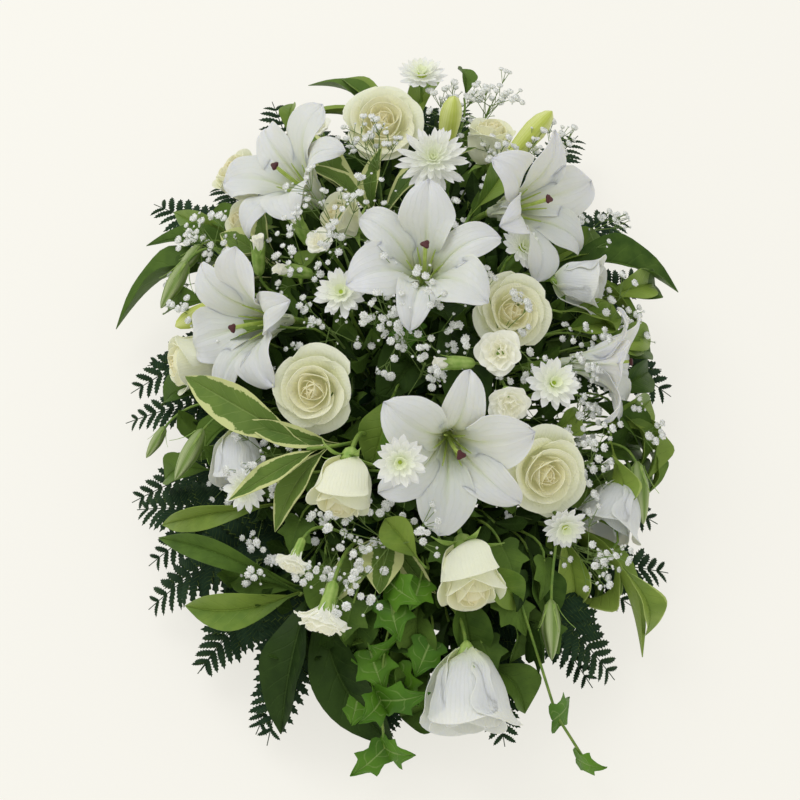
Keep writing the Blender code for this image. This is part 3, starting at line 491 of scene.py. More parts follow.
class Look(Enum):
    """Every finish of the spray."""

    LILY = PetalFinish(
        "lily_petal", 0.45, 0.6, painted_glow=0.02, colour=(0.72, 0.725, 0.74), heart=(0.66, 0.68, 0.65),
        foot_reach=0.42, foot_share=0.5, veins=9, vein_share=0.06, midrib=0.3, thick=0.9,
    )
    ROSE = PetalFinish(
        "rose_petal", 0.55, 0.3, painted_glow=0.09, colour=Hue.IVORY, heart=Hue.PEACH, foot=(0.78, 0.80, 0.40),
        foot_reach=0.35, veins=16, foot_share=0.3, vein_share=0.04, back_share=0.6,
    )
    CARNATION = PetalFinish(
        "carnation_petal", 0.6, 0.3, painted_glow=0.15, colour=(0.84, 0.84, 0.74), heart=Hue.CREAM, foot_reach=0.5,
        foot_share=0.25, vein_share=0.03, thick=0.4,
    )
    DAISY = PetalFinish(
        "chrysanthemum_ray", 0.55, 0.25, painted_glow=0.13, colour=(0.80, 0.80, 0.79), heart=(0.78, 0.84, 0.52),
        foot_reach=0.36, foot_share=0.3, veins=3, vein_share=0.05, thick=0.4,
    )
    BELL = PetalFinish(
        "lisianthus_petal", 0.42, 0.5, painted_glow=0.03, colour=(0.74, 0.76, 0.71), foot_reach=0.4, foot_share=0.7,
        veins=18, vein_share=0.05, back_share=0.3, thick=0.45,
    )
    FLORET = PetalFinish(
        "gypsophila_floret", 0.6, 0.2, painted_glow=0.16, colour=(0.88, 0.89, 0.87), foot_share=0.1, vein_share=0.0,
        painted_speckle_shade=0.55,
    )
    STIGMA = GrainFinish("lily_stigma", 0.45, colour=Hue.STIGMA, light=(0.11, 0.03, 0.03), scale=1500.0)
    PISTIL = StemFinish("lily_pistil", 0.4, 0.1, colour=Hue.LIME, light=(0.55, 0.66, 0.2))
    BUTTON = GrainFinish(
        "chrysanthemum_button", 0.7, colour=(0.30, 0.45, 0.03), light=(0.62, 0.68, 0.10), scale=1300.0,
        depth=1.2,
    )
    STEM = StemFinish("flower_stem", 0.5)
    CALYX = StemFinish("green_calyx", 0.5, 0.05, colour=(0.20, 0.36, 0.05), light=(0.42, 0.56, 0.16))
    THREAD = StemFinish("gypsophila_thread", 0.6, colour=(0.14, 0.24, 0.05), light=(0.25, 0.36, 0.10))
    LILY_BUD = BudFinish(
        "lily_bud", 0.42, 0.1, painted_glow=0.1, colour=(0.48, 0.55, 0.10), ridge=(0.84, 0.86, 0.48)
    )
    BELL_BUD = BudFinish(
        "lisianthus_bud", 0.45, 0.1, colour=(0.17, 0.27, 0.05), ridge=(0.62, 0.68, 0.40), ridges=5,
        share=0.7,
    )
    VARIEGATED = LeafFinish(
        "cream_edged_leaf", 0.5, shine=0.14, colour=(0.060, 0.125, 0.020), light=(0.15, 0.235, 0.042),
        edge_share=0.95, painted_lit_half=0.3, vein=(0.30, 0.40, 0.12),
    )
    LAUREL = LeafFinish(
        "laurel_leaf", 0.42, shine=0.16, coat=0.04, painted_lit_half=0.7, vein=Hue.LEAF_VEIN, vein_share=0.3
    )
    CURLED = LeafFinish(
        "curled_leaf", 0.42, shine=0.16, coat=0.04, colour=(0.075, 0.16, 0.015), painted_lit_half=0.9,
        vein=Hue.LEAF_VEIN, vein_share=0.3, edge=(0.42, 0.52, 0.15), edge_share=0.85, rim_at=0.9,
    )
    SHADED = LeafFinish(
        "shaded_leaf", 0.5, shine=0.1, colour=(0.024, 0.062, 0.009), light=(0.125, 0.215, 0.034),
        vein_share=0.25, painted_lit_half=0.4, vein=(0.12, 0.20, 0.04),
    )
    # partly painted shade: their own dark green made darker still, as leaves deep in the shade between the
    # flowers
    DARK = LeafFinish(
        "dark_leaf", 0.48, shine=0.08, coat=0.02, colour=Hue.DEEP_GREEN_AND_SHADE, light=(0.048, 0.095, 0.017),
        vein_share=0.25, painted_lit_half=0.7, vein=(0.08, 0.14, 0.03),
    )
    IVY = LeafFinish(
        "ivy_leaf", 0.45, shine=0.14, coat=0.02, colour=Hue.IVY, light=(0.12, 0.27, 0.02),
        vein=(0.28, 0.40, 0.12), veins=3.2, slant=-1.1, vein_share=0.6,
    )
    FERN = LeafFinish(
        "fern_leaf", 0.6, shine=0.06, colour=Hue.FERN, light=(0.026, 0.056, 0.026), vein_share=0.2
    )
    FOAM = GrainFinish("wet_foam", 0.85, colour=(0.025, 0.08, 0.03), light=(0.05, 0.13, 0.05), scale=1600.0)
    TRAY = GrainFinish(
        "moulded_tray", 0.4, colour=(0.012, 0.05, 0.022), light=(0.02, 0.07, 0.03), scale=1800.0, depth=0.08
    )
    TAPE = GrainFinish(
        "waxed_tape", 0.35, colour=(0.02, 0.09, 0.035), light=(0.03, 0.12, 0.05), scale=2200.0, depth=0.15
    )

    @property
    def material(self) -> bpy.types.Material:
        """The finish's material."""
        return self.value.material()


# Meshes in the making


@dataclass
class Shell:
    """Points and faces that aren't a mesh yet, with what the finishes read.

    A corner's place on its sheet is in uvs, a point's shade in tones, and a face's finish in looks.
    """

    points: Grid
    corners: Grid
    sizes: Grid
    uvs: Grid
    tones: Grid
    looks: list

    @classmethod
    def joined(cls, parts: Sequence["Shell"]) -> "Shell":
        """Joins shells.

        Args:
            parts: The shells.

        Returns:
            One shell of them all.
        """
        starts = np.cumsum([0] + [len(part.points) for part in parts])
        names = ("points", "sizes", "uvs", "tones")
        whole = {name: np.concatenate([getattr(part, name) for part in parts]) for name in names}
        corners = np.concatenate([part.corners + start for part, start in zip(parts, starts)])
        return cls(corners=corners, looks=[look for part in parts for look in part.looks], **whole)

    @classmethod
    def quads(cls, points: Grid, faces: Grid, uvs: Grid, tone: float, look: Look) -> "Shell":
        """Makes a shell of four-sided faces.

        Args:
            points: Its points.
            faces: The numbers of each face's four points.
            uvs: The place on the sheet of each corner of each face.
            tone: Its shade.
            look: Its finish.

        Returns:
            The shell.
        """
        sizes = np.full(len(faces), 4)
        tones = np.full(len(points), tone)
        return cls(points, faces.reshape(-1), sizes, uvs.reshape(-1, 2), tones, [look] * len(faces))

    @classmethod
    def sheet(cls, grid: Grid, thick: float, look: Look, tone: float = 0.5) -> "Shell":
        """Makes a thin closed sheet.

        Args:
            grid: Its surface: rows along it, points across it. Its face is to the left of its rows' run.
            thick: Its thickness.
            look: Its finish.
            tone: Its shade, from 0 to 1.

        Returns:
            A front, a back and a rim between them.
        """
        rows, cols = grid.shape[:2]
        count = rows * cols
        out = np.cross(np.gradient(grid, axis=1), np.gradient(grid, axis=0))
        out /= np.maximum(np.linalg.norm(out, axis=2, keepdims=True), 1e-9)
        points = np.concatenate([grid + out * thick / 2, grid - out * thick / 2]).reshape(-1, 3)
        number = np.arange(count).reshape(rows, cols)
        ends = number[:-1, :-1], number[:-1, 1:], number[1:, 1:], number[1:, :-1]
        front = np.stack([end.ravel() for end in ends], axis=1)
        ring = np.concatenate([number[0, :-1], number[:-1, -1], number[-1, :0:-1], number[:0:-1, 0]])
        after = np.roll(ring, -1)
        rim = np.stack([ring, ring + count, after + count, after], axis=1)
        across, along = np.meshgrid(np.linspace(0, 1, cols), np.linspace(0, 1, rows))
        flat = np.stack([across.ravel(), along.ravel()], axis=1)
        uvs = np.concatenate([flat[front], flat[front[:, ::-1]] + (2.0, 0.0), flat[rim % count]])
        return cls.quads(points, np.concatenate([front, front[:, ::-1] + count, rim]), uvs, tone, look)

    @classmethod
    def round(cls, grid: Grid, look: Look, tone: float = 0.5) -> "Shell":
        """Makes a closed body.

        Args:
            grid: Rows of rings, from its foot to its top. A ring doesn't repeat its first point.
            look: Its finish.
            tone: Its shade.

        Returns:
            The body, with a face across its first and its last ring.
        """
        rows, around = grid.shape[:2]
        number = np.arange(rows * around).reshape(rows, around)
        after = np.roll(number, -1, axis=1)
        faces = np.stack([number[:-1], after[:-1], after[1:], number[1:]], axis=2).reshape(-1, 4)
        place = np.stack(np.meshgrid(np.arange(around) / around, np.linspace(0, 1, rows)), axis=2)
        step = (1 / around, 0)
        uvs = np.stack([place[:-1], place[:-1] + step, place[1:] + step, place[1:]], axis=2)
        body = cls.quads(grid.reshape(-1, 3), faces, uvs, tone, look)
        body.corners = np.concatenate([body.corners, number[0][::-1], number[-1]])
        body.sizes = np.append(body.sizes, (around, around))
        body.uvs = np.concatenate([body.uvs, place[0], place[-1]])
        body.looks += [look, look]
        return body

    @classmethod
    def of_mesh(cls, mesh: bpy.types.Mesh, look: Look) -> "Shell":
        """Reads a mesh.

        Args:
            mesh: A mesh in metres.
            look: The finish of all that it holds.

        Returns:
            The shell, in millimetres.
        """

        def read(items: Any, name: str, width: int = 1, kind: type = float) -> np.ndarray:
            """Returns one property of every item."""
            found = np.zeros(len(items) * width, kind)
            items.foreach_get(name, found)
            return found

        points = read(mesh.vertices, "co", 3).reshape(-1, 3) * (1 / MM)
        corners = read(mesh.loops, "vertex_index", kind=np.int64)
        sizes = read(mesh.polygons, "loop_total", kind=np.int64)
        uvs = np.zeros((len(corners), 2))
        if "sheet" in mesh.attributes:
            uvs = read(mesh.attributes["sheet"].data, "vector", 2).reshape(-1, 2)
        tones = np.full(len(points), 0.5)
        for name in ("tone", "shade"):
            if name in mesh.attributes and mesh.attributes[name].domain == "POINT":
                tones = read(mesh.attributes[name].data, "value")
        return cls(points, corners, sizes, uvs, tones, [look] * len(sizes))

    def moved(self, matrix: Matrix) -> "Shell":
        """Returns the shell taken through a matrix."""
        whole = np.array(matrix)
        return replace(self, points=self.points @ whole[:3, :3].T + whole[:3, 3])

    def turned(self, degrees: float) -> "Shell":
        """Returns the shell turned about its own axis."""
        return self.moved(Matrix.Rotation(math.radians(degrees), 4, "Z"))

    def mesh(self, name: str) -> bpy.types.Mesh:
        """Makes the shell into a mesh.

        Args:
            name: The mesh's name.

        Returns:
            The mesh, in metres and with its finishes in slots.
        """
        mesh = bpy.data.meshes.new(name)
        mesh.vertices.add(len(self.points))
        mesh.vertices.foreach_set("co", (self.points * MM).astype(np.float32).ravel())
        mesh.loops.add(len(self.corners))
        mesh.loops.foreach_set("vertex_index", self.corners.astype(np.int32))
        mesh.polygons.add(len(self.sizes))
        starts = np.concatenate([[0], np.cumsum(self.sizes)[:-1]]).astype(np.int32)
        mesh.polygons.foreach_set("loop_start", starts)
        slots = {look: number for number, look in enumerate(dict.fromkeys(self.looks))}
        for look in slots:
            mesh.materials.append(look.material)
        mesh.polygons.foreach_set("material_index", [slots[look] for look in self.looks])
        mesh.uv_layers.new(name="sheet").data.foreach_set("uv", self.uvs.astype(np.float32).ravel())
        tones = mesh.attributes.new("tone", "FLOAT", "POINT")
        tones.data.foreach_set("value", self.tones.astype(np.float32))
        mesh.update(calc_edges=True)
        mesh.set_sharp_from_angle(angle=math.radians(SHARP_ANGLE))
        return mesh


@dataclass
class Petal:
    """A petal or a leaf in its own frame: it starts beside the axis, and +X is outwards.

    lean, half and curl are read from 0 at its foot to 1 at its tip: its lean from the axis in degrees, its
    half width, and how sharply its edges bend in towards the axis, as one over a radius.
    """

    length: float
    lean: Callable[[Any], Any]
    half: Callable[[Any], Any]
    curl: Callable[[Any], Any] | float = 0.0
    reach: float = 3.0
    height: float = 0.0
    rows: int = 12
    cols: int = 9
    droop: float = 0.2  # how far the corners of its tip fall back
    corner: float = 2.4  # and how late
    notch: float = 0.0
    teeth: float = 0.0
    ruffle: float = 0.0  # waves along its edges
    waves: float = 3.0
    frill: float = 0.0  # folds that run along it
    frills: float = 2.0
    groove: float = 0.0
    tuck: float = 0.0  # one edge in and the other out
    twist: float = 0.0  # its turn about its midrib, growing to its tip
    phase: float = 0.0

    def waved(self, rise: Grid, side: Grid, u: Grid, t: Grid) -> Grid:
        """Adds the petal's waves and folds.

        Args:
            rise: How far each point is bent in towards the axis.
            side: How far across it is.
            u: Its place across, from -1 to 1.
            t: Its place along, from 0 to 1.

        Returns:
            The rise with the waves and folds.
        """
        beat = np.sin(math.tau * (self.waves * t + self.phase) + 1.7 * np.sign(u))
        rise = rise + self.ruffle * np.abs(u) ** 2.5 * np.sin(np.pi * t) ** 0.6 * beat
        rise += self.frill * t**1.6 * np.sin(math.tau * (self.frills * u / 2 + self.phase) + t)
        rise -= self.groove * np.exp(-((u / 0.12) ** 2)) * (1 - t * 0.6)
        return rise + (self.tuck * u + self.twist * side * t**2)

    def grid(self) -> Grid:
        """Returns the petal's surface, with its face to the axis."""
        fine = np.linspace(0, 1, MIDRIB_STEPS + 1)
        lean = np.radians(self.lean(fine))
        step = self.length / MIDRIB_STEPS
        reach = self.reach + np.concatenate([[0], np.cumsum(np.sin(lean[:-1]) * step)])
        height = self.height + np.concatenate([[0], np.cumsum(np.cos(lean[:-1]) * step)])
        u, t = np.meshgrid(np.linspace(-1, 1, self.cols), np.linspace(0, 1, self.rows))
        fall = self.droop * np.abs(u) ** self.corner + self.notch * np.exp(-((u / 0.16) ** 2))
        at = t * (1 - fall * t) - self.teeth * np.abs(np.sin(u * 17.0 + self.phase)) * t**3
        bend = self.curl(at) if callable(self.curl) else np.full_like(at, self.curl)
        bend = np.where(np.abs(bend) < FLAT, FLAT, bend)
        wrap = np.clip(u * self.half(at) * bend, -MOST_WRAP, MOST_WRAP)
        side = np.sin(wrap) / bend
        rise = self.waved((1 - np.cos(wrap)) / bend, side, u, t)
        tilt = np.interp(at, fine, lean)
        out = np.interp(at, fine, reach) - rise * np.cos(tilt)
        up = np.interp(at, fine, height) + rise * np.sin(tilt)
        return np.stack([out, side, up], axis=2)

    def shell(self, look: Look, tone: float = 0.5, turn: float = 0.0) -> Shell:
        """Returns the petal as a closed sheet, turned about the axis."""
        return Shell.sheet(self.grid(), look.value.thick, look, tone).turned(turn)


def spun(
    rows: Sequence[tuple[float, float]], around: int, steps: int, lobes: float = 0, depth: float = 0.0,
    twist: float = 0.0,
) -> Grid:
    """Makes the rings of a turned body.

    Args:
        rows: Its outline from foot to top, as radius and height.
        around: The points of a ring.
        steps: The number of rings.
        lobes: Its ridges, if it has any.
        depth: Their depth, as a share of the radius.
        twist: Their turn from foot to top, in radians.

    Returns:
        The rings.
    """
    share = np.linspace(0, 1, steps)
    marks = np.linspace(0, 1, len(rows))
    radius, height = (np.interp(share, marks, part)[:, None] for part in zip(*rows))
    angle = np.arange(around)[None, :] / around * math.tau
    ridge = 1 + depth * np.cos(lobes * angle + twist * share[:, None])
    x, y = radius * ridge * np.cos(angle), radius * ridge * np.sin(angle)
    return np.stack([x, y, np.broadcast_to(height, x.shape)], axis=2)


def seated(place: Vector, axis: Vector, size: float = 1.0, spin: float = 0.0) -> Matrix:
    """Returns the frame at a place whose +Z is the axis."""
    turn = axis.to_track_quat("Z", "Y").to_matrix().to_4x4() @ Matrix.Rotation(math.radians(spin), 4, "Z")
    return Matrix.Translation(place) @ turn @ Matrix.Scale(size, 4)


# Geometry Nodes


class GeometryTree(Web):
    """A tree that makes a mesh. It ends in Realize Instances and Set Material."""

    def __init__(self, name: str) -> None:
        """Starts a tree with one geometry in and one out.

        Args:
            name: The tree's name.
        """
        super().__init__(bpy.data.node_groups.new(name, "GeometryNodeTree"))
        self.ends: dict[str, str] = {}
        for way in ("INPUT", "OUTPUT"):
            self.tree.interface.new_socket("Geometry", in_out=way, socket_type="NodeSocketGeometry")
        self.start = self.tree.nodes.new("NodeGroupInput")

    @property
    def geometry(self) -> Sock:
        """What the tree is given."""
        return Sock(self, self.start.outputs[0])

    def input(self, name: str, kind: str = "Float") -> Sock:
        """Adds a named input, and returns it."""
        made = self.tree.interface.new_socket(name, in_out="INPUT", socket_type=f"NodeSocket{kind}")
        self.ends[name] = made.identifier
        return Sock(self, self.socket(self.start.outputs, made.identifier))

    def shape(self) -> Sock:
        """Adds the input called Shape, an object, and returns the mesh of what it is given."""
        values = {"Object": self.input("Shape", "Object")}
        return self.out("GeometryNodeObjectInfo", None, values, "Geometry")

    def stored(
        self, geometry: Sock, name: str, value: Sock, kind: str = "FLOAT", domain: str = "POINT"
    ) -> Sock:
        """Returns the geometry with a value kept in it under a name."""
        values = {"Geometry": geometry, "Name": name, "Value": value}
        return self.out("GeometryNodeStoreNamedAttribute", {"data_type": kind, "domain": domain}, values)

    def kept(self, name: str, kind: str = "FLOAT") -> Sock:
        """Returns the value that the geometry keeps under a name."""
        return self.out("GeometryNodeInputNamedAttribute", {"data_type": kind}, {"Name": name})

    def chance(self, low: Any, high: Any, seed: Sock) -> Sock:
        """Returns a random number between two, another for each point."""
        values = {"Min_001": low, "Max_001": high, "Seed": seed}
        return self.out("FunctionNodeRandomValue", {"data_type": "FLOAT"}, values, 1)

    def turned(self, **angles: Sock) -> Sock:
        """Returns a turn about X, Y and Z by the angles given."""
        values = {"Euler": self.out("ShaderNodeCombineXYZ", None, angles)}
        return self.out("FunctionNodeEulerToRotation", None, values)

    def finish(self, geometry: Sock) -> None:
        """Ends the tree with that geometry."""
        whole = self.out("GeometryNodeRealizeInstances", None, {"Geometry": geometry})
        values = {"Geometry": whole, "Material": self.input("Material", "Material")}
        self.node("NodeGroupOutput", None, {0: self.out("GeometryNodeSetMaterial", None, values)})

    def run(self, base: bpy.types.ID, look: Look, **values: Any) -> Shell:
        """Runs the tree.

        Args:
            base: The mesh or curve that it starts from.
            look: The finish of what it makes.
            values: Its inputs, by their names.

        Returns:
            What it makes, in millimetres.
        """
        carrier = added("carrier", base)
        modifier = carrier.modifiers.new("tree", "NODES")
        modifier.node_group = self.tree
        for name, value in {"Material": look.material, **values}.items():
            modifier[self.ends[name]] = value
        bpy.context.view_layer.update()
        mesh = bpy.data.meshes.new_from_object(carrier.evaluated_get(bpy.context.evaluated_depsgraph_get()))
        shell = Shell.of_mesh(mesh, look)
        bpy.data.objects.remove(carrier)
        bpy.data.meshes.remove(mesh)
        return shell


class StemTree(GeometryTree):
    """Stems along curves, each as thick as its curve says, with a place along and around."""

    def __init__(self) -> None:
        """Builds the tree."""
        super().__init__("stems")
        values = {"Curve": self.geometry, "Length": self.input("Step")}
        line = self.out("GeometryNodeResampleCurve", {"mode": "LENGTH"}, values)
        line = self.stored(line, "run", self.out("GeometryNodeSplineParameter"))
        values = {"Resolution": self.input("Sides", "Int"), "Radius": 1.0}
        ring = self.out("GeometryNodeCurvePrimitiveCircle", None, values)
        ring = self.stored(ring, "ring", self.out("GeometryNodeSplineParameter"))
        wide = self.out("GeometryNodeInputRadius")
        values = {"Curve": line, "Profile Curve": ring, "Scale": wide, "Fill Caps": True}
        body = self.out("GeometryNodeCurveToMesh", None, values)
        spot = self.out("ShaderNodeCombineXYZ", None, {"X": self.kept("ring"), "Y": self.kept("run")})
        self.finish(self.stored(body, "sheet", spot, "FLOAT2", "CORNER"))


class SpreadTree(GeometryTree):
    """A shape on each point, turned the way that the point says and spun by chance."""

    def __init__(self) -> None:
        """Builds the tree."""
        super().__init__("spread")
        shape, seed = self.shape(), self.input("Seed", "Int")
        small, large, spin = self.input("Small"), self.input("Large"), self.input("Spin")
        ways = {
            "Primary Axis": self.kept("way", "FLOAT_VECTOR"),
            "Secondary Axis": self.kept("across", "FLOAT_VECTOR"),
        }
        turn = self.out("FunctionNodeAxesToRotation", {"primary_axis": "Z", "secondary_axis": "X"}, ways)
        twist = self.turned(Z=self.chance(spin * -1.0, spin, seed))
        turn = self.out("FunctionNodeRotateRotation", {"rotation_space": "LOCAL"}, {0: turn, 1: twist})
        size = self.chance(small, large, seed + 7.0) * self.kept("size")
        values = {"Points": self.geometry, "Instance": shape, "Rotation": turn, "Scale": size}
        spread = self.out("GeometryNodeInstanceOnPoints", None, values)
        self.finish(self.stored(spread, "shade", self.chance(0.0, 1.0, seed), "FLOAT", "INSTANCE"))


class WhorlTree(GeometryTree):
    """A ring of rays about an axis, each with its own small turn, lean and length."""

    def __init__(self) -> None:
        """Builds the tree."""
        super().__init__("whorl")
        shape, seed, count = self.shape(), self.input("Seed", "Int"), self.input("Count", "Int")
        start, loose, lean = self.input("Start"), self.input("Loose"), self.input("Lean")
        drift = self.chance(loose * -1.0, loose, seed)
        tip = self.chance(loose * -0.4, loose * 0.4, seed + 3.0)
        turn = self.out("GeometryNodeInputIndex") * math.tau / count + start + drift
        values = {
            "Points": self.out("GeometryNodePoints", None, {"Count": count}),
            "Instance": shape,
            "Rotation": self.turned(Y=lean + tip, Z=turn),
            "Scale": self.chance(0.88, 1.06, seed + 9.0),
        }
        self.finish(self.out("GeometryNodeInstanceOnPoints", None, values))


class Workshop:
    """The geometry trees, each made once."""

    made: dict[type, GeometryTree] = {}

    @classmethod
    def tree(cls, kind: type) -> Any:
        """Returns the tree of that kind."""
        if kind not in cls.made:
            cls.made[kind] = kind()
        return cls.made[kind]

    @classmethod
    def stems(cls, lines: Sequence[tuple], look: Look, sides: int = 8, step: float = 6.0) -> Shell:
        """Makes stems.

        Args:
            lines: For each stem its points, and its radius or one for each point.
            look: Their finish.
            sides: The sides of each.
            step: The length of a side, along them.

        Returns:
            All the stems.
        """
        curve_data = bpy.data.curves.new("lines", "CURVE")
        curve_data.dimensions = "3D"
        for points, radius in lines:
            spline = curve_data.splines.new("POLY")
            spline.points.add(len(points) - 1)
            whole = np.concatenate([np.asarray(points, float) * MM, np.ones((len(points), 1))], axis=1)
            spline.points.foreach_set("co", whole.ravel())
            spline.points.foreach_set("radius", np.full(len(points), radius, float) * MM)
        shell = cls.tree(StemTree).run(curve_data, look, Sides=sides, Step=step * MM)
        bpy.data.curves.remove(curve_data)
        return shell

    @classmethod
    def repeated(cls, kind: type, base: bpy.types.Mesh, shape: Shell, **values: Any) -> Shell:
        """Runs a tree that repeats a shape.

        Args:
            kind: The tree's class.
            base: The mesh that it starts from, which is then thrown away.
            shape: What it repeats.
            values: Its other inputs.

        Returns:
            All the shapes.
        """
        carrier = added("shape", shape.mesh("shape"))
        shell = cls.tree(kind).run(base, shape.looks[0], Shape=carrier, **values)
        bpy.data.objects.remove(carrier)
        bpy.data.meshes.remove(base)
        return shell

    @classmethod
    def spread(
        cls, shape: Shell, spots: Grid, ways: Grid, acrosses: Grid, sizes: Any, seed: int, spin: float,
        small: float, large: float,
    ) -> Shell:
        """Sets a shape on each spot.

        Args:
            shape: What is repeated. Its +Z goes the spot's way, and its +X across it.
            spots: The places.
            ways: The way that each shape points.
            acrosses: The way across each.
            sizes: The size of each, or of all.
            seed: What the chances start from.
            spin: How far a shape may be spun either way.
            small: The smallest share of its size that chance gives it.
            large: The largest.

        Returns:
            All the shapes.
        """
        mesh = bpy.data.meshes.new("spots")
        mesh.vertices.add(len(spots))
        mesh.vertices.foreach_set("co", (np.asarray(spots) * MM).ravel())
        for name, values in (("way", ways), ("across", acrosses)):
            made = mesh.attributes.new(name, "FLOAT_VECTOR", "POINT")
            made.data.foreach_set("vector", np.asarray(values, float).ravel())
        made = mesh.attributes.new("size", "FLOAT", "POINT")
        made.data.foreach_set("value", np.full(len(spots), sizes, float))
        return cls.repeated(SpreadTree, mesh, shape, Small=small, Large=large, Spin=spin, Seed=seed)

    @classmethod
    def whorl(cls, ray: Shell, count: int, seed: int, start: float, loose: float, lean: float) -> Shell:
        """Sets rays in a ring, with angles in degrees.

        Args:
            ray: One ray, which lies along +Z.
            count: How many there are.
            seed: What the chances start from.
            start: The turn of the first.
            loose: How far chance may turn each.
            lean: Their lean from the axis.

        Returns:
            All the rays.
        """
        angles = {"Start": math.radians(start), "Loose": math.radians(loose), "Lean": math.radians(lean)}
        base = bpy.data.meshes.new("none")
        return cls.repeated(WhorlTree, base, ray, Count=count, Seed=seed, **angles)


# Flower heads, each in its own frame: the stem meets it at the origin, and it faces +Z


class Bloom:
    """A flower head."""

    depth = 30.0  # from where its stem ends to its face
    stem = 2.1  # the radius of its stem

    def shells(self, rng: Rng) -> list[Shell]:
        """Makes the head.

        Args:
            rng: The source of its chances.

        Returns:
            Its shells, in millimetres.
        """
        raise NotImplementedError


@dataclass
class Lily(Bloom):
    """An open lily: three very broad tepals over three narrower ones, waved, and recurved at their tips."""

    depth = 42.0
    stem = 3.4
    count: int = 6  # its tepals, and its filaments too
    length: float = 118.0
    throat: float = 7.6
    joined: float = 10.0
    first: float = 15.0  # a tepal's lean at its foot
    broad: float = 32.0  # half a broad tepal's width
    narrow: float = 22.0
    groove: float = 3.4
    rows: int = 26
    cols: int = 17

    def tepal(self, narrow: bool, rng: Rng) -> Petal:
        """Shapes a tepal.

        Args:
            narrow: Whether it is one of the three narrower ones.
            rng: The source of its chances.

        Returns:
            The tepal.
        """
        last = rng.uniform(125, 172) if narrow else rng.uniform(100, 152)
        width = self.narrow if narrow else self.broad
        start = self.throat + (1.2 if narrow else -1.0)
        late = 2.3 if narrow else 2.0
        lean = lambda t: self.first + (last - self.first) * np.clip(t, 0, 1) ** late
        fine = np.linspace(0, 1, 49)
        steps = np.sin(np.radians(lean(fine)))[:-1]
        reach = start + np.concatenate([[0], np.cumsum(steps)]) * self.length / 48
        body = lambda t: np.clip(t / 0.5, 0, 1) * (2 - np.clip(t / 0.5, 0, 1))
        blunt = lambda t: np.maximum(1 - np.clip((t - 0.46) / 0.54, 0, 1) ** 2.3, 0) ** 0.66
        room = lambda t: 0.74 * np.interp(t, fine, reach)
        half = lambda t: np.maximum(np.minimum(width * body(t) * blunt(t), room(t)), 3.6 * (1 - t) + 0.25)
        curl = lambda t: (1.0 - 0.6 * t) / (np.interp(t, fine, reach) + 14) - 0.014 * t**3
        return Petal(
            self.length, lean, half, curl, start, self.joined, self.rows, self.cols, droop=0.0,
            ruffle=4.0 if narrow else 6.5, waves=rng.uniform(1.4, 2.2), phase=rng.uniform(0, 1),
            groove=self.groove, frill=1.0, frills=1.5, twist=rng.uniform(-0.22, 0.22),
        )

    def tepals(self, rng: Rng) -> list[Shell]:
        """Makes the tepals.

        Args:
            rng: The source of its chances.

        Returns:
            The six tepals, and the neck that they grow out of.
        """
        shells = []
        for number in range(self.count):
            petal = self.tepal(number % 2 == 1, rng)
            turn = 360 / self.count * number + rng.uniform(-6, 6)
            shells.append(petal.shell(Look.LILY, rng.uniform(0.4, 1), turn))
        rows = ((-1.9, -1.5), (-0.9, 5), (0.6, 11), (1.2, 14))
        outside = [(self.throat + more, height) for more, height in rows]
        inside = [(radius - 0.8, height) for radius, height in reversed(outside)]
        return [*shells, self.tube(spun((*outside, *inside), 24, 8))]

    @staticmethod
    def tube(ring: Grid) -> Shell:
        """Makes the neck.

        Args:
            ring: Its rings, up its outside and down its inside.

        Returns:
            An open tube with a wall.
        """
        rows, around = ring.shape[:2]
        number = np.arange(rows * around).reshape(rows, around)
        after, up = np.roll(number, -1, axis=1), np.roll(number, -1, axis=0)
        faces = np.stack([number, after, np.roll(after, -1, axis=0), up], axis=2).reshape(-1, 4)
        uvs = np.zeros((len(faces), 4, 2)) + (0.3, 0.02)
        return Shell.quads(ring.reshape(-1, 3), faces, uvs, 0.6, Look.LILY)

    def shells(self, rng: Rng) -> list[Shell]:
        """Returns the pistil, its brown tip, and the filaments that stand round it."""
        foot = Shell.round(spun(((1, -7), (4.6, -5), (5.3, 0), (5.2, 6), (2.5, 14)), 12, 7), Look.PISTIL)
        line = np.array([[0, 0, 6], [0.6, 0, 30], [2.4, 0, 58], [6, 0, 84]])
        style = Workshop.stems([(line, [2.6, 2.2, 1.9, 2.1])], Look.PISTIL, 8, 8)
        tip = spun(((0.4, -3), (3.2, -1.6), (4.6, 0.3), (3.8, 2.2), (0.5, 2.6)), 18, 9, 3, 0.24)
        tip = Shell.round(tip, Look.STIGMA).moved(seated(Vector((6, 0, 84)), Vector((0.12, 0, 1))))
        threads = []
        for number in range(self.count):
            angle = math.radians(30 + 360 / self.count * number + rng.uniform(-6, 6))
            out = np.array([math.cos(angle), math.sin(angle), 0])
            ends = [(1.2, 4), (5.5, 24), (12.5, 44), (18.5, 60 + rng.uniform(-4, 3))]
            points = np.array([out * reach + (0, 0, height) for reach, height in ends])
            threads.append((points, [1.3, 1.3, 1.2, 0.6]))
        return [foot, style, tip, Workshop.stems(threads, Look.PISTIL, 6, 8)]


@dataclass
class LilyBud(Bloom):
    """A closed lily bud of three broad ridged tepals."""

    depth = 35.0

    def shells(self, rng: Rng) -> list[Shell]:
        """Returns the bud."""
        rows = ((2, -3), (6.5, 4), (8.6, 16), (10.6, 32), (11.3, 44), (9.6, 56), (5.4, 65), (0.8, 69))
        return [Shell.round(spun(rows, 36, 22, 3, 0.1, 0.4), Look.LILY_BUD)]


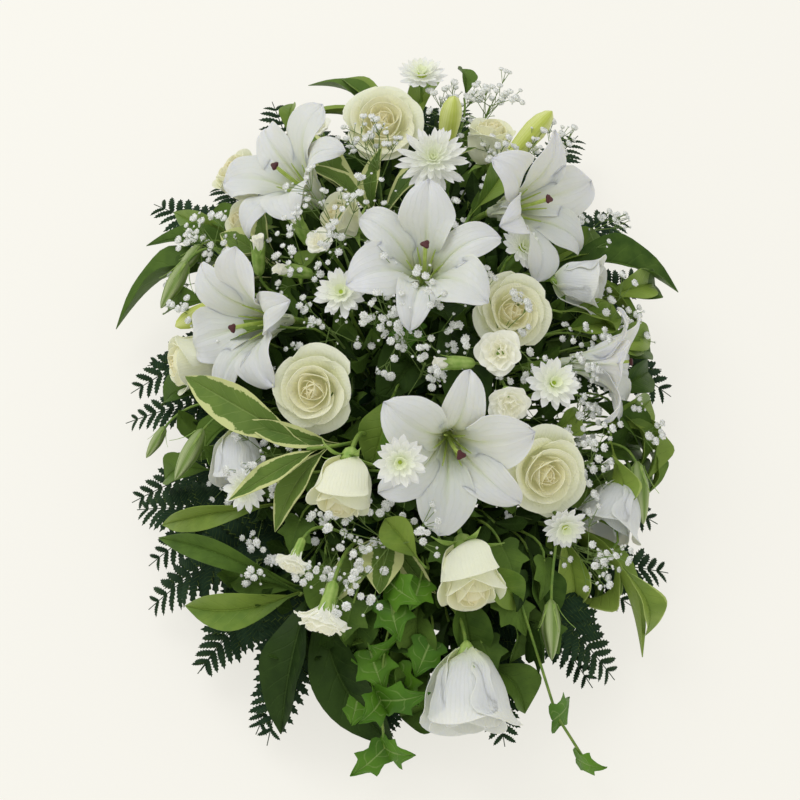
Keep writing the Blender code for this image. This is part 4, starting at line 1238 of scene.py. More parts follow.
@dataclass
class Rose(Bloom):
    """A rose. opened says how far its outer petals lean out, and the hearts of all are tight."""

    depth = 46.0
    stem = 2.8
    petals: int = 25
    opened: float = 1.0
    width: float = 30.0
    length: float = 47.0
    base: float = 9.0
    reflex: tuple = (105, 130)  # how far its sepals turn down at their tips
    sepal: float = 20.0

    def petal(self, share: float, rng: Rng) -> Petal:
        """Shapes a petal.

        Args:
            share: Its place, from 0 in the heart to 1 at the outside.
            rng: The source of its chances.

        Returns:
            The petal.
        """
        opened = self.opened * share
        start = 26 + 44 * share**0.7
        middle = -9 + 40 * opened**1.3 + rng.uniform(-4, 4) * share
        tip = -34 + 140 * opened**1.25 + rng.uniform(-14, 14) * share
        lean = curve((0, start), (0.42, middle), (0.74, middle + (tip - middle) * 0.25), (1, tip))
        wide = (9 + (self.width - 9) * share**0.75) * rng.uniform(0.92, 1.06)
        radius = 5.2 + 34 * share**1.35 * (0.6 + 0.4 * self.opened)
        rolled = curve((0, 0), (0.68, 0), (1, 1))
        return Petal(
            self.length * (0.84 + 0.16 * share) * rng.uniform(0.95, 1.04), lean,
            curve((0, 0.28), (0.4, 0.8), (0.75, 1.0), (1, 0.84), size=wide),
            lambda t: (1 - 1.5 * share * self.opened * rolled(t)) / radius, 1.0 + 6.0 * share,
            self.base - 8 * share, 14, 13, droop=0.20 + 0.08 * share, corner=2.8, tuck=1.2 + 2.2 * share,
            ruffle=1.5 * share, waves=1.3, phase=rng.uniform(0, 1), notch=-0.035 * share, frill=0.5 * share,
            frills=1.2,
        )

    def shells(self, rng: Rng) -> list[Shell]:
        """Returns the petals, the green hip under them and its sepals."""
        shells = []
        for number in range(self.petals):
            share = (number / (self.petals - 1)) ** 1.08
            petal = self.petal(share, rng)
            turn = GOLDEN * number + rng.uniform(-12, 12)
            tone = min(1.0, share * 1.15) * rng.uniform(0.85, 1)
            tip = Matrix.Rotation(math.radians(rng.uniform(-3, 3)), 4, "X")
            shells.append(petal.shell(Look.ROSE, tone, turn).moved(tip))
        hip = spun(((1.5, -11), (6, -8), (8, -3), (8.4, 2), (3, 6)), 16, 9)
        shells.append(Shell.round(hip, Look.CALYX))
        for number in range(SEPALS):
            reflex = rng.uniform(*self.reflex)
            lean = curve((0, 70), (0.5, (reflex + 70) / 2), (1, reflex))
            half = curve((0, 0.8), (0.3, 1.0), (1, 0.08), size=3.6)
            leaf = Petal(self.sepal, lean, half, 0.05, 6.5, -2, 9, 5, droop=0.0)
            shells.append(leaf.shell(Look.CALYX, 0.5, 360 / SEPALS * number + rng.uniform(-8, 8)))
        return shells


@dataclass
class HalfRose(Rose):
    """A rose that is half open, taller than it is wide."""

    depth = 44.0
    stem = 2.6
    petals: int = 20
    opened: float = 0.62
    width: float = 25.0
    length: float = 50.0
    reflex: tuple = (95, 150)
    sepal: float = 27.0


@dataclass
class Carnation(Bloom):
    """A carnation: broad, lightly frilled petals round a crowded heart, out of a long green calyx."""

    depth = 34.0
    petals: int = 26
    spread: float = 92.0  # the lean of the outermost petals' tips

    def shells(self, rng: Rng) -> list[Shell]:
        """Returns the petals and the calyx."""
        shells = []
        for number in range(self.petals):
            share = number / (self.petals - 1)
            last = 4 + self.spread * share**0.9 + rng.uniform(-14, 14)
            wide = (8 + 9.5 * share**0.7) * rng.uniform(0.88, 1.12)
            petal = Petal(
                40 + 5 * share,
                curve((0, 3), (0.4, 4 + last * 0.12), (0.66, last * 0.62), (1, last)),
                curve((0, 0.14), (0.4, 0.24), (0.72, 0.9), (1, 0.8), size=wide),
                lambda t: 0.055 - 0.05 * share - 0.03 * share * t,
                1.0 + 3.0 * share, 4, 10, 13, droop=0.26, corner=2.2, teeth=0.014,
                frill=rng.uniform(1.6, 2.4) * (1.1 - 0.6 * share), frills=rng.uniform(1.4, 2.4),
                phase=rng.uniform(0, 6), ruffle=1.4, waves=2, twist=rng.uniform(-0.15, 0.15),
            )
            tone = min(1.0, 0.15 + share * 1.3) * rng.uniform(0.8, 1)
            shells.append(petal.shell(Look.CARNATION, tone, GOLDEN * number + rng.uniform(-10, 10)))
        rows = ((1.5, -4), (5.4, -1), (6.2, 8), (7.0, 18), (7.8, 25), (6.2, 26))
        shells.append(Shell.round(spun(rows, 20, 14, 5, 0.03), Look.CALYX))
        return shells


@dataclass
class CarnationBud(Bloom):
    """A carnation bud: a long calyx with the tips of white petals pushing out."""

    depth = 30.0

    def shells(self, rng: Rng) -> list[Shell]:
        """Returns the calyx, its teeth and the petals."""
        rows = ((1.5, -3), (5.2, 0), (6.8, 10), (7.4, 20), (6.9, 27), (3.5, 29))
        shells = [Shell.round(spun(rows, 20, 14, 5, 0.04), Look.CALYX)]
        for number in range(SEPALS):
            half = curve((0, 1), (1, 0.1), size=4.2)
            tooth = Petal(11, lambda t: t * 16, half, 0.12, 6.9, 24, 6, 5, droop=0.0)
            shells.append(tooth.shell(Look.CALYX, 0.5, 360 / SEPALS * number))
        for number in range(9):
            petal = Petal(
                rng.uniform(37, 43), curve((0, 0), (0.7, 2), (1, 14 + number * 5)),
                curve((0, 0.3), (0.6, 0.8), (1, 1), size=7), 0.13, 0.6 + number * 0.35, 3, 8, 9, droop=0.2,
                teeth=0.01, frill=0.5, frills=2, phase=number,
            )
            shells.append(petal.shell(Look.CARNATION, 0.8, GOLDEN * number))
        return shells


@dataclass
class Daisy(Bloom):
    """A spray chrysanthemum: rings of rays round a button.

    A ring is the rays' length, half width, lean and count, and the height and the reach of their feet.
    """

    depth = 12.0
    rings: tuple = (
        (22.5, 3.7, 86, 14, 9.0, 6.5),
        (21.0, 3.5, 72, 13, 10.0, 6.0),
        (16.0, 3.0, 54, 11, 10.8, 5.5),
        (9.5, 2.3, 34, 9, 11.2, 4.5),
    )
    button: float = 5.6
    spoon: float = 0.10
    loose: float = 8.0

    def ray(self, length: float, half: float, reach: float) -> Shell:
        """Makes a ray.

        Args:
            length: Its length.
            half: Half its width.
            reach: How far out from the axis it starts.

        Returns:
            The ray, which lies along the axis until its ring leans it.
        """
        shape = curve((0, 0.40), (0.5, 0.95), (0.72, 1.0), (1, 0.30), size=half)
        lean = curve((0, 4), (0.6, -4), (1, -20))
        petal = Petal(length, lean, shape, self.spoon, 0, reach, 7, 5, droop=0.10, corner=1.4, groove=0.35)
        return petal.shell(Look.DAISY)

    def shells(self, rng: Rng) -> list[Shell]:
        """Returns the rings of rays, the button and the green cup under them."""
        shells = []
        for number, (length, half, lean, count, height, reach) in enumerate(self.rings):
            ray = self.ray(length, half, reach * 0.3)
            ring = Workshop.whorl(ray, count, seed_of(rng), number * 11.0, self.loose, lean)
            ring = ring.moved(Matrix.Translation((0, 0, height)))
            ring.tones[:] = 1.0 - 0.75 * (number / (len(self.rings) - 1)) ** 2
            shells.append(ring)
        cup = ((1.5, -2), (4, 0), (7.5, 5), (7.0, 9), (2, 10))
        shells.append(Shell.round(spun(cup, 16, 9, 8, 0.05), Look.CALYX))
        rows = ((self.button, 8), (self.button * 1.02, 11), (self.button * 0.7, 13.4), (0.6, 14.2))
        dome = spun(rows, 20, 7)
        bumps = 1 + 0.07 * np.sin(np.arange(20) * 2.4)[None, :, None] * np.array([1, 1, 0])
        shells.append(Shell.round(dome * bumps, Look.BUTTON))
        return shells


@dataclass
class DoubleDaisy(Daisy):
    """A double chrysanthemum, full of long rays to its heart."""

    depth = 14.0
    rings: tuple = (
        (34.0, 3.6, 94, 17, 8.0, 6.5),
        (33.0, 3.5, 82, 17, 9.5, 6.0),
        (29.0, 3.3, 68, 15, 11.0, 5.5),
        (25.0, 3.0, 54, 13, 12.0, 5.0),
        (21.0, 2.8, 40, 11, 13.0, 4.0),
        (17.0, 2.5, 26, 9, 13.5, 3.0),
        (13.0, 2.2, 12, 6, 13.5, 2.0),
    )
    button: float = 3.0
    spoon: float = 0.20
    loose: float = 12.0


@dataclass
class Lisianthus(Bloom):
    """A lisianthus: a bell of broad silky petals on a green foot."""

    depth = 34.0
    stem = 1.9
    petals: int = 9
    flare: float = 46.0

    def shells(self, rng: Rng) -> list[Shell]:
        """Returns the petals, the foot and its thin sepals."""
        shells = []
        rolled = curve((0, 0), (0.72, 0), (1, 1))
        for number in range(self.petals):
            share = number / (self.petals - 1)
            last = -14 + (self.flare + 14) * share + rng.uniform(-6, 6)
            petal = Petal(
                71 - 9 * (1 - share),
                curve((0, 46 + 22 * share), (0.3, 18 + 14 * share), (0.7, 1 + 9 * share), (1, last)),
                curve((0, 0.2), (0.34, 0.74), (0.75, 1.0), (1, 0.84), size=24 + 10 * share),
                lambda t: (1 - 0.9 * share * rolled(t)) / (17 + 18 * share),
                2.0 + 2.0 * share, -2, 16, 15, droop=0.20, corner=2.6, tuck=3.0, ruffle=1.4, waves=1.5,
                phase=rng.uniform(0, 1), frill=0.35, frills=rng.uniform(1.4, 2.2),
            )
            shells.append(petal.shell(Look.BELL, rng.uniform(0.6, 1), GOLDEN * number))
        foot = spun(((1.2, -10), (4.4, -7), (6.4, -2), (7.5, 3), (3, 5)), 16, 8)
        return [*shells, Shell.round(foot, Look.CALYX), *thin_sepals(26, 34, rng)]


def thin_sepals(length: float, lean: float, rng: Rng) -> list[Shell]:
    """Makes five sepals like threads, which stand away from the flower's foot.

    Args:
        length: Their length.
        lean: About how far they lean from the axis, in degrees.
        rng: The source of their chances.

    Returns:
        The sepals.
    """
    shells = []
    for number in range(SEPALS):
        tilt = lean + rng.uniform(-12, 22)
        bend = curve((0, tilt * 0.5), (0.5, tilt), (1, tilt + 12))
        sepal = Petal(length, bend, curve((0, 1), (1, 0.15), size=1.3), 0.0, 6.2, -3, 7, 3, droop=0.0)
        shells.append(sepal.shell(Look.CALYX, 0.5, 360 / SEPALS * number + rng.uniform(-9, 9)))
    return shells


@dataclass
class LisianthusBud(Bloom):
    """A long lisianthus bud, twisted shut, in its thin sepals."""

    depth = 26.0
    stem = 1.7

    def shells(self, rng: Rng) -> list[Shell]:
        """Returns the bud and its sepals."""
        rows = ((1.5, -8), (5.0, -4), (7.6, 4), (9.2, 14), (9.0, 24), (6.6, 36), (3.8, 46), (0.6, 52))
        bud = Shell.round(spun(rows, 30, 20, 5, 0.10, 4.0), Look.BELL_BUD)
        return [bud, *thin_sepals(30, 22, rng)]


class Head(Enum):
    """The kinds of flower head."""

    LILY = Lily()
    LILY_BUD = LilyBud()
    ROSE = Rose()
    HALF_ROSE = HalfRose()
    CARNATION = Carnation()
    CARNATION_BUD = CarnationBud()
    DAISY = Daisy()
    DOUBLE_DAISY = DoubleDaisy()
    LISIANTHUS = Lisianthus()
    LISIANTHUS_BUD = LisianthusBud()


# Stems, on the same lines as the solid model's


class Place(NamedTuple):
    """Where a flower head is: the middle of its face, and the way that it faces."""

    x: float
    y: float
    z: float
    tilt: float
    heading: float
    spin: float = 0.0
    size: float = 1.0
    kind: Head | None = None


class Leaf(NamedTuple):
    """A leaf, by the place of its tip. On a frond, roll is how high it arches."""

    x: float
    y: float
    z: float
    width: float
    roll: float = 0.0
    look: Look | None = None


@dataclass(frozen=True)
class Foam:
    """The block of foam that every stem goes into."""

    width: float = 112.0
    length: float = 460.0
    height: float = 80.0
    foot: float = 3.35
    core_height: float = 46.0
    core_across: float = 0.10
    core_along: float = 0.47
    core_end: float = 205.0
    tape_place: float = 118.0
    tape_clear: float = 11.0
    stem_depth: float = 24.0
    straight: float = 12.0
    sunk: float = 3.0
    ease: float = 0.3  # how slowly a stem turns into its hole

    def door(self, point: Vector, shift: Sequence[float]) -> tuple[Vector, Vector]:
        """Finds where a stem goes into the foam.

        Args:
            point: Where it comes from.
            shift: How far its aim is moved, across and along the foam.

        Returns:
            The place, clear of the tapes, and the way out of the foam there.
        """
        along = max(-self.core_end, min(self.core_end, point.y * self.core_along))
        core = Vector((point.x * self.core_across + shift[0], along + shift[1], self.core_height))
        run = core - point
        half = Vector((self.width, self.length, self.height)) / 2
        middle = Vector((0, 0, self.foot + half.z))
        share = 0.0
        for axis in range(3):
            off = point[axis] - middle[axis]
            if abs(off) > half[axis]:
                share = max(share, (math.copysign(half[axis], off) - off) / run[axis])
        door = point + run * share
        off = abs(door.y) - self.tape_place
        if abs(off) < self.tape_clear:
            door.y = math.copysign(self.tape_place + math.copysign(self.tape_clear, off), door.y)
        return door, -run.normalized()

    def stem(
        self, foot: Vector, axis: Vector, lead: float, shift: Sequence[float] = (0.0, 0.0), steps: int = 15
    ) -> list[Vector]:
        """Bends a stem into the foam.

        Args:
            foot: Where its head or its leaves start.
            axis: The way that it points there.
            lead: How slowly it turns away from that.
            shift: How far its aim is moved, across and along the foam.
            steps: How many steps it takes to its hole.

        Returns:
            Its points, from its head or its leaves to its end in the foam.
        """
        door, out = self.door(foot, shift)
        mouth = door + out * self.straight
        reach = (foot - mouth).length
        ends = (foot + axis * self.sunk, foot - axis * reach * lead, mouth + out * reach * self.ease, mouth)
        return [*bent(*ends, steps), door - out * self.stem_depth]


def bent(a: Vector, b: Vector, c: Vector, d: Vector, steps: int) -> list[Vector]:
    """Returns points along a smooth bend from a to d, which leaves a towards b and comes to d from c."""
    shares = [number / steps for number in range(steps + 1)]
    return [a * (1 - s) ** 3 + b * 3 * s * (1 - s) ** 2 + c * 3 * s**2 * (1 - s) + d * s**3 for s in shares]


def aim(tilt: float, heading: float) -> Vector:
    """Returns the direction that leans by tilt from straight up, towards a heading."""
    lean, turn = math.radians(tilt), math.radians(heading)
    return Vector((math.sin(lean) * math.sin(turn), -math.sin(lean) * math.cos(turn), math.cos(lean)))


JOIN = 10  # the point of a stem where its side stalks join it
JOIN_SPAN = 5  # how many points away its way there is read


def side_stalk(foot: Vector, axis: Vector, line: Sequence[Vector]) -> list[Vector]:
    """Bends a side stalk to its stem.

    Args:
        foot: Where its head starts.
        axis: The way that it points there.
        line: The stem's points.

    Returns:
        Its points, from its head down to the stem.
    """
    joint = line[JOIN]
    reach = (foot - joint).length
    down = (line[JOIN + JOIN_SPAN] - line[JOIN - JOIN_SPAN]).normalized()
    return bent(foot + axis * 3.0, foot - axis * reach * 0.45, joint - down * reach * 0.3, joint, 12)


def outward(point: Vector) -> Vector:
    """Returns the way out of the spray at a point."""
    return Vector((point.x, point.y * 0.5, 200.0)).normalized()


FOAM = Foam()


def fitted(name: str, shells: Sequence[Shell], node: str = "") -> None:
    """Makes shells into one piece of the spray.

    Args:
        name: The piece's name.
        shells: What it is made of.
        node: The solid that it stands for, if it stands for one.
    """
    piece = added(name, Shell.joined(shells).mesh(name))
    if node:
        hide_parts(node)
    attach(piece, "root")
    LOG.info("%s: %d faces", name, len(piece.data.polygons))


class Plant:
    """A stem with all that it carries. Each plant stands for one solid, or a lily for two."""

    def build(self, name: str) -> None:
        """Makes the plant's pieces.

        Args:
            name: Its name, which its solid has too, or which its two solids' names start with.
        """
        raise NotImplementedError


@dataclass
class FlowerStem(Plant):
    """A flower stem. Its first head's stem goes into the foam, and the other heads' stalks join it.

    A head is given by the values of its Place.
    """

    kind: Head
    heads: tuple
    lead: float = 0.45
    shift: tuple = (0.0, 0.0)

    def build(self, name: str) -> None:
        """Makes the heads, the stalks and the stem."""
        rng, line, lines, shells = drawn(name), None, [], []
        radius = self.kind.value.stem
        for place in [Place(*head) for head in self.heads]:
            kind = place.kind or self.kind
            axis = aim(place.tilt, place.heading)
            foot = Vector(place[:3]) - axis * kind.value.depth * place.size
            seat = seated(foot, axis, place.size, place.spin)
            if line is None:
                line = FOAM.stem(foot, axis, self.lead, self.shift)
                lines.append((line, radius))
            else:
                lines.append((side_stalk(foot, axis, line), radius * 0.75))
            shells += [shell.moved(seat) for shell in kind.value.shells(rng)]
            if kind is Head.LILY:
                tepals = [shell.moved(seat) for shell in kind.value.tepals(rng)]
                fitted(f"{name}_petals", tepals, f"{name}_tepals")
        shells.append(Workshop.stems(lines, Look.STEM))
        fitted(f"{name}_flower", shells, f"{name}_stem" if self.kind is Head.LILY else name)


# Leaves


def leaf_axes(foot: Vector, tip: Vector, roll: float) -> Grid:
    """Finds how a leaf lies.

    Args:
        foot: Where it starts.
        tip: Where it ends.
        roll: Its turn about its length, in degrees.

    Returns:
        The way across it, the way along it, and the way out of its upper face.
    """
    along = (tip - foot).normalized()
    away = Vector((tip.x + foot.x, (tip.y + foot.y) * 0.4, 260.0))
    across = along.cross(away).normalized()
    across.rotate(Matrix.Rotation(math.radians(roll), 3, along))
    return np.array([across, along, across.cross(along)])


@dataclass
class Blade:
    """A broad leaf: folded along its middle, arched along its length, and a little wavy."""

    look: Look = Look.LAUREL
    bow: float = 0.2
    fold: float = 0.75
    wave: float = 0.07
    widest: float = 1.15
    stalk: float = 0.10
    rows: int = 17
    cols: int = 9

    @classmethod
    def of(cls, look: Look) -> "Blade":
        """Returns a leaf of the shape that goes with a finish."""
        shapes = {Look.VARIEGATED: (0.12, 0.35, 0.06, 1.0), Look.DARK: (0.16, 0.5, 0.06, 1.1)}
        return cls(look, *shapes.get(look, ()))

    def surface(self, length: float, width: float, rng: Rng) -> Grid:
        """Shapes the leaf.

        Args:
            length: Its length.
            width: Its width.
            rng: The source of its chances.

        Returns:
            Its points: how far across, along and out of its face they are.
        """
        u, t = np.meshgrid(np.linspace(-1, 1, self.cols), np.linspace(0, 1, self.rows))
        body = np.clip((t - self.stalk) / (1 - self.stalk), 0, 1)
        half = width / 2 * np.sin(np.pi * body**self.widest) ** 0.8 * (1 - 0.35 * body**8)
        half = np.maximum(half, length * np.where(t < 0.5, 0.012, 0.003))
        phase = rng.uniform(0, 1)
        rise = length * self.bow * np.sin(np.pi * t) + self.fold * np.abs(u) ** 1.3 * half
        edge = np.sin(math.tau * (2.2 * t + phase) + np.sign(u)) * np.sin(np.pi * t)
        rise += width * self.wave * u**2 * edge - 0.08 * half * np.exp(-((u / 0.14) ** 2))
        sway = length * rng.uniform(-0.09, 0.09) * np.sin(np.pi * t)
        return np.stack([u * half + sway, length * t, rise], axis=2)

    def shell(self, foot: Vector, tip: Vector, width: float, roll: float, rng: Rng) -> Shell:
        """Makes the leaf between two points.

        Args:
            foot: Where it starts.
            tip: Where it ends.
            width: Its width.
            roll: Its turn about its length, in degrees.
            rng: The source of its chances.

        Returns:
            The leaf.
        """
        grid = self.surface((tip - foot).length, width, rng)
        grid = grid @ leaf_axes(foot, tip, roll) + np.array(foot)
        return Shell.sheet(grid, self.look.value.thick, self.look, rng.uniform(0, 1))


@dataclass
class IvyBlade(Blade):
    """An ivy leaf of five lobes.

    outline is its rim: how far across, how far along, and where the row starts on the midrib.
    """

    look: Look = Look.IVY
    outline: tuple = (
        (0.02, 0.0, 0.0), (0.12, -0.05, 0.03), (0.27, -0.07, 0.06), (0.40, 0.0, 0.10), (0.445, 0.08, 0.14),
        (0.39, 0.16, 0.19), (0.33, 0.23, 0.24), (0.37, 0.35, 0.30), (0.44, 0.46, 0.36), (0.47, 0.55, 0.42),
        (0.38, 0.56, 0.48), (0.27, 0.58, 0.54), (0.205, 0.66, 0.62), (0.15, 0.77, 0.74), (0.08, 0.89, 0.87),
        (0.004, 1.0, 1.0),
    )

    def surface(self, length: float, width: float, rng: Rng) -> Grid:
        """Returns the leaf's surface: across, along and out of its face."""
        rim = np.array(self.outline)[:, None, :]
        u = np.linspace(-1, 1, self.cols)[None, :]
        across = rim[:, :, 0] * width * u
        along = length * (rim[:, :, 2] + (rim[:, :, 1] - rim[:, :, 2]) * np.abs(u) ** 1.2)
        rise = length * 0.12 * np.sin(np.pi * np.clip(along / length, 0, 1)) - 0.10 * np.abs(across)
        wave = np.sin(np.abs(u) * 4 + along / length * 9 + rng.uniform(0, 6))
        rise = rise + 1.3 * wave * np.abs(u) - 0.8 * np.exp(-((u / 0.1) ** 2))
        return np.stack([across, along, rise], axis=2)


@dataclass
class Frond:
    """A fern frond: an arched rib with pairs of leaflets, each cut into lobes."""

    look: Look = Look.FERN
    pairs: int = 19
    lobes: int = 6
    ribs: int = 25  # the points of its rib
    bare: float = 0.24  # the share of its rib before the first leaflet

    def leaflet(self) -> Shell:
        """Returns a leaflet one millimetre long, which lies along +Z with its face to -Y."""
        rows = self.lobes * 2 + 2
        odd = np.arange(rows) % 2
        t = np.linspace(0, 1, rows)
        half = 0.19 * np.sin(np.pi * np.clip(t * 0.8 + 0.17, 0, 1)) ** 0.7 * np.where(odd, 1.0, 0.62)
        half[-1] = 0.006
        up = t + np.where(odd, 0.05, 0.0)
        bow = 0.09 * np.sin(np.pi * t)
        zero = np.zeros(rows)
        ring = [(-half, bow, up), (zero, bow - 0.022, t), (half, bow, up), (zero, bow + 0.022, t)]
        return Shell.round(np.stack([np.stack(spot, axis=1) for spot in ring], axis=1), self.look)

    def shells(self, foot: Vector, tip: Vector, width: float, arch: float, rng: Rng) -> list[Shell]:
        """Makes the frond between two points.

        Args:
            foot: Where it starts.
            tip: Where it ends.
            width: Its width, with its leaflets.
            arch: How high it arches.
            rng: The source of its chances.

        Returns:
            The leaflets and the rib.
        """
        side = (tip - foot).cross(Vector((0, 0, 1))).normalized()
        high = foot + (tip - foot) * 0.4 + Vector((0, 0, arch))
        rib = lambda t: foot * (1 - t) ** 2 + high * 2 * t * (1 - t) + tip * t * t
        spots, ways, acrosses, sizes = [], [], [], []
        for number in range(self.pairs):
            share = number / self.pairs
            at = self.bare + 0.75 * share
            along = ((high - foot) * (1 - at) + (tip - high) * at).normalized()
            up = side.cross(along)
            size = width / 2 * min(1.0, 0.6 + share * 3) * (1 - share) ** 0.5 * 1.06 + 4
            for way in (-1, 1):
                out = (side * way + along * (0.4 + 0.5 * share) - up * rng.uniform(0.0, 0.3)).normalized()
                spots.append(rib(at))
                ways.append(out)
                acrosses.append(up.cross(out))
                sizes.append(size)
        chances = seed_of(rng), 0.14, 0.92, 1.08
        line = [rib(t) for t in np.linspace(0, 1, self.ribs)], np.linspace(1.4, 0.5, self.ribs)
        leaflets = Workshop.spread(self.leaflet(), spots, ways, acrosses, sizes, *chances)
        return [leaflets, Workshop.stems([line], self.look, 5, 12)]


@dataclass
class Sprig(Plant):
    """A leafy stem. Its leaves, each by the values of its Leaf, leave it one by one below its hub."""

    look: Look
    hub: tuple
    leaves: tuple
    lead: float = 0.4
    shift: tuple = (0.0, 0.0)

    def line(self, steps: int) -> list[Vector]:
        """Returns the stem's points."""
        hub = Vector(self.hub)
        middle = sum((Vector(leaf[:3]) for leaf in self.leaves), Vector()) / len(self.leaves)
        return FOAM.stem(hub, (middle - hub).normalized(), self.lead, self.shift, steps)

    def carried(self, foot: Vector, leaf: Leaf, rng: Rng) -> list[Shell]:
        """Returns the shells of one leaf."""
        return [Blade.of(leaf.look or self.look).shell(foot, Vector(leaf[:3]), leaf.width, leaf.roll, rng)]

    def build(self, name: str) -> None:
        """Makes the stem and its leaves."""
        rng, line = drawn(name), self.line(3)
        shells = [Workshop.stems([(self.line(15), 2.0)], Look.STEM)]
        for number, leaf in enumerate(self.leaves):
            shells += self.carried(line[0].lerp(line[1], 0.2 * (number + 0.5)), Leaf(*leaf), rng)
        fitted(f"{name}_leaves", shells, name)


@dataclass
class Fern(Sprig):
    """Fern fronds that spread from one stem."""

    def carried(self, foot: Vector, leaf: Leaf, rng: Rng) -> list[Shell]:
        """Returns the shells of one frond."""
        return Frond(self.look).shells(foot, Vector(leaf[:3]), leaf.width, leaf.roll, rng)


@dataclass
class Fringe(Plant):
    """Fern fronds that come out of the foam low down, all round."""

    tips: tuple
    width: float = 92.0
    level: float = 62.0  # how high in the foam the fronds start

    def build(self, name: str) -> None:
        """Makes the fronds."""
        rng, shells = drawn(name), []
        for spot in self.tips:
            tip = Vector(spot)
            start = Vector((tip.x * 0.5, tip.y * 0.6 + rng.uniform(-50, 60), self.level))
            foot, _ = FOAM.door(start, (0.0, 0.0))
            tip += Vector((rng.uniform(-1, 1) * 8, rng.uniform(-1, 1) * 22, rng.uniform(-1, 1) * 12))
            arch = rng.uniform(15, 80)
            shells += Frond(pairs=21).shells(foot, tip, self.width * rng.uniform(0.85, 1.1), arch, rng)
        fitted(name, shells)


@dataclass
class Loose(Plant):
    """Leaves that come up between the flowers, each by its foot, its tip, its width and its roll."""

    leaves: tuple
    look: Look = Look.LAUREL
    bow: float = 0.2

    @property
    def blade(self) -> Blade:
        """The shape of its leaves."""
        return replace(Blade.of(self.look), bow=self.bow)

    def build(self, name: str) -> None:
        """Makes the leaves, each on a stalk from the foam."""
        rng, shells, lines = drawn(name), [], []
        for foot, tip, width, roll in self.leaves:
            foot, tip = Vector(foot), Vector(tip)
            lines.append((FOAM.stem(foot, (tip - foot).normalized(), 0.3), 1.3))
            shells.append(self.blade.shell(foot, tip, width, roll, rng))
        fitted(name, [Workshop.stems(lines, Look.STEM, 6, 10), *shells])


@dataclass
class LooseIvy(Loose):
    """Ivy leaves that come up between the flowers."""

    look: Look = Look.IVY

    @property
    def blade(self) -> Blade:
        """The shape of its leaves."""
        return IvyBlade(self.look)


@dataclass
class Vine(Plant):
    """An ivy trail through its points, with leaves from its joints, each by the values of its Leaf."""

    points: tuple
    leaves: tuple
    lead: float = 0.3
    shift: tuple = (0.0, 0.0)

    def build(self, name: str) -> None:
        """Makes the vine and its leaves."""
        rng = drawn(name)
        points = [Vector(point) for point in self.points]
        line = FOAM.stem(points[0], (points[1] - points[0]).normalized(), self.lead, self.shift)
        shells = [Workshop.stems([([*reversed(points[1:]), *line[1:]], 1.5)], Look.STEM, 7, 8)]
        for leaf in [Leaf(*values) for values in self.leaves]:
            tip = Vector(leaf[:3])
            foot = min(points[1:], key=lambda point: (point - tip).length)
            foot = tip + (foot - tip).normalized() * max((foot - tip).length, leaf.width * 1.05)
            shells.append(IvyBlade(leaf.look or Look.IVY).shell(foot, tip, leaf.width, leaf.roll, rng))
        fitted(f"{name}_trail", shells, name)


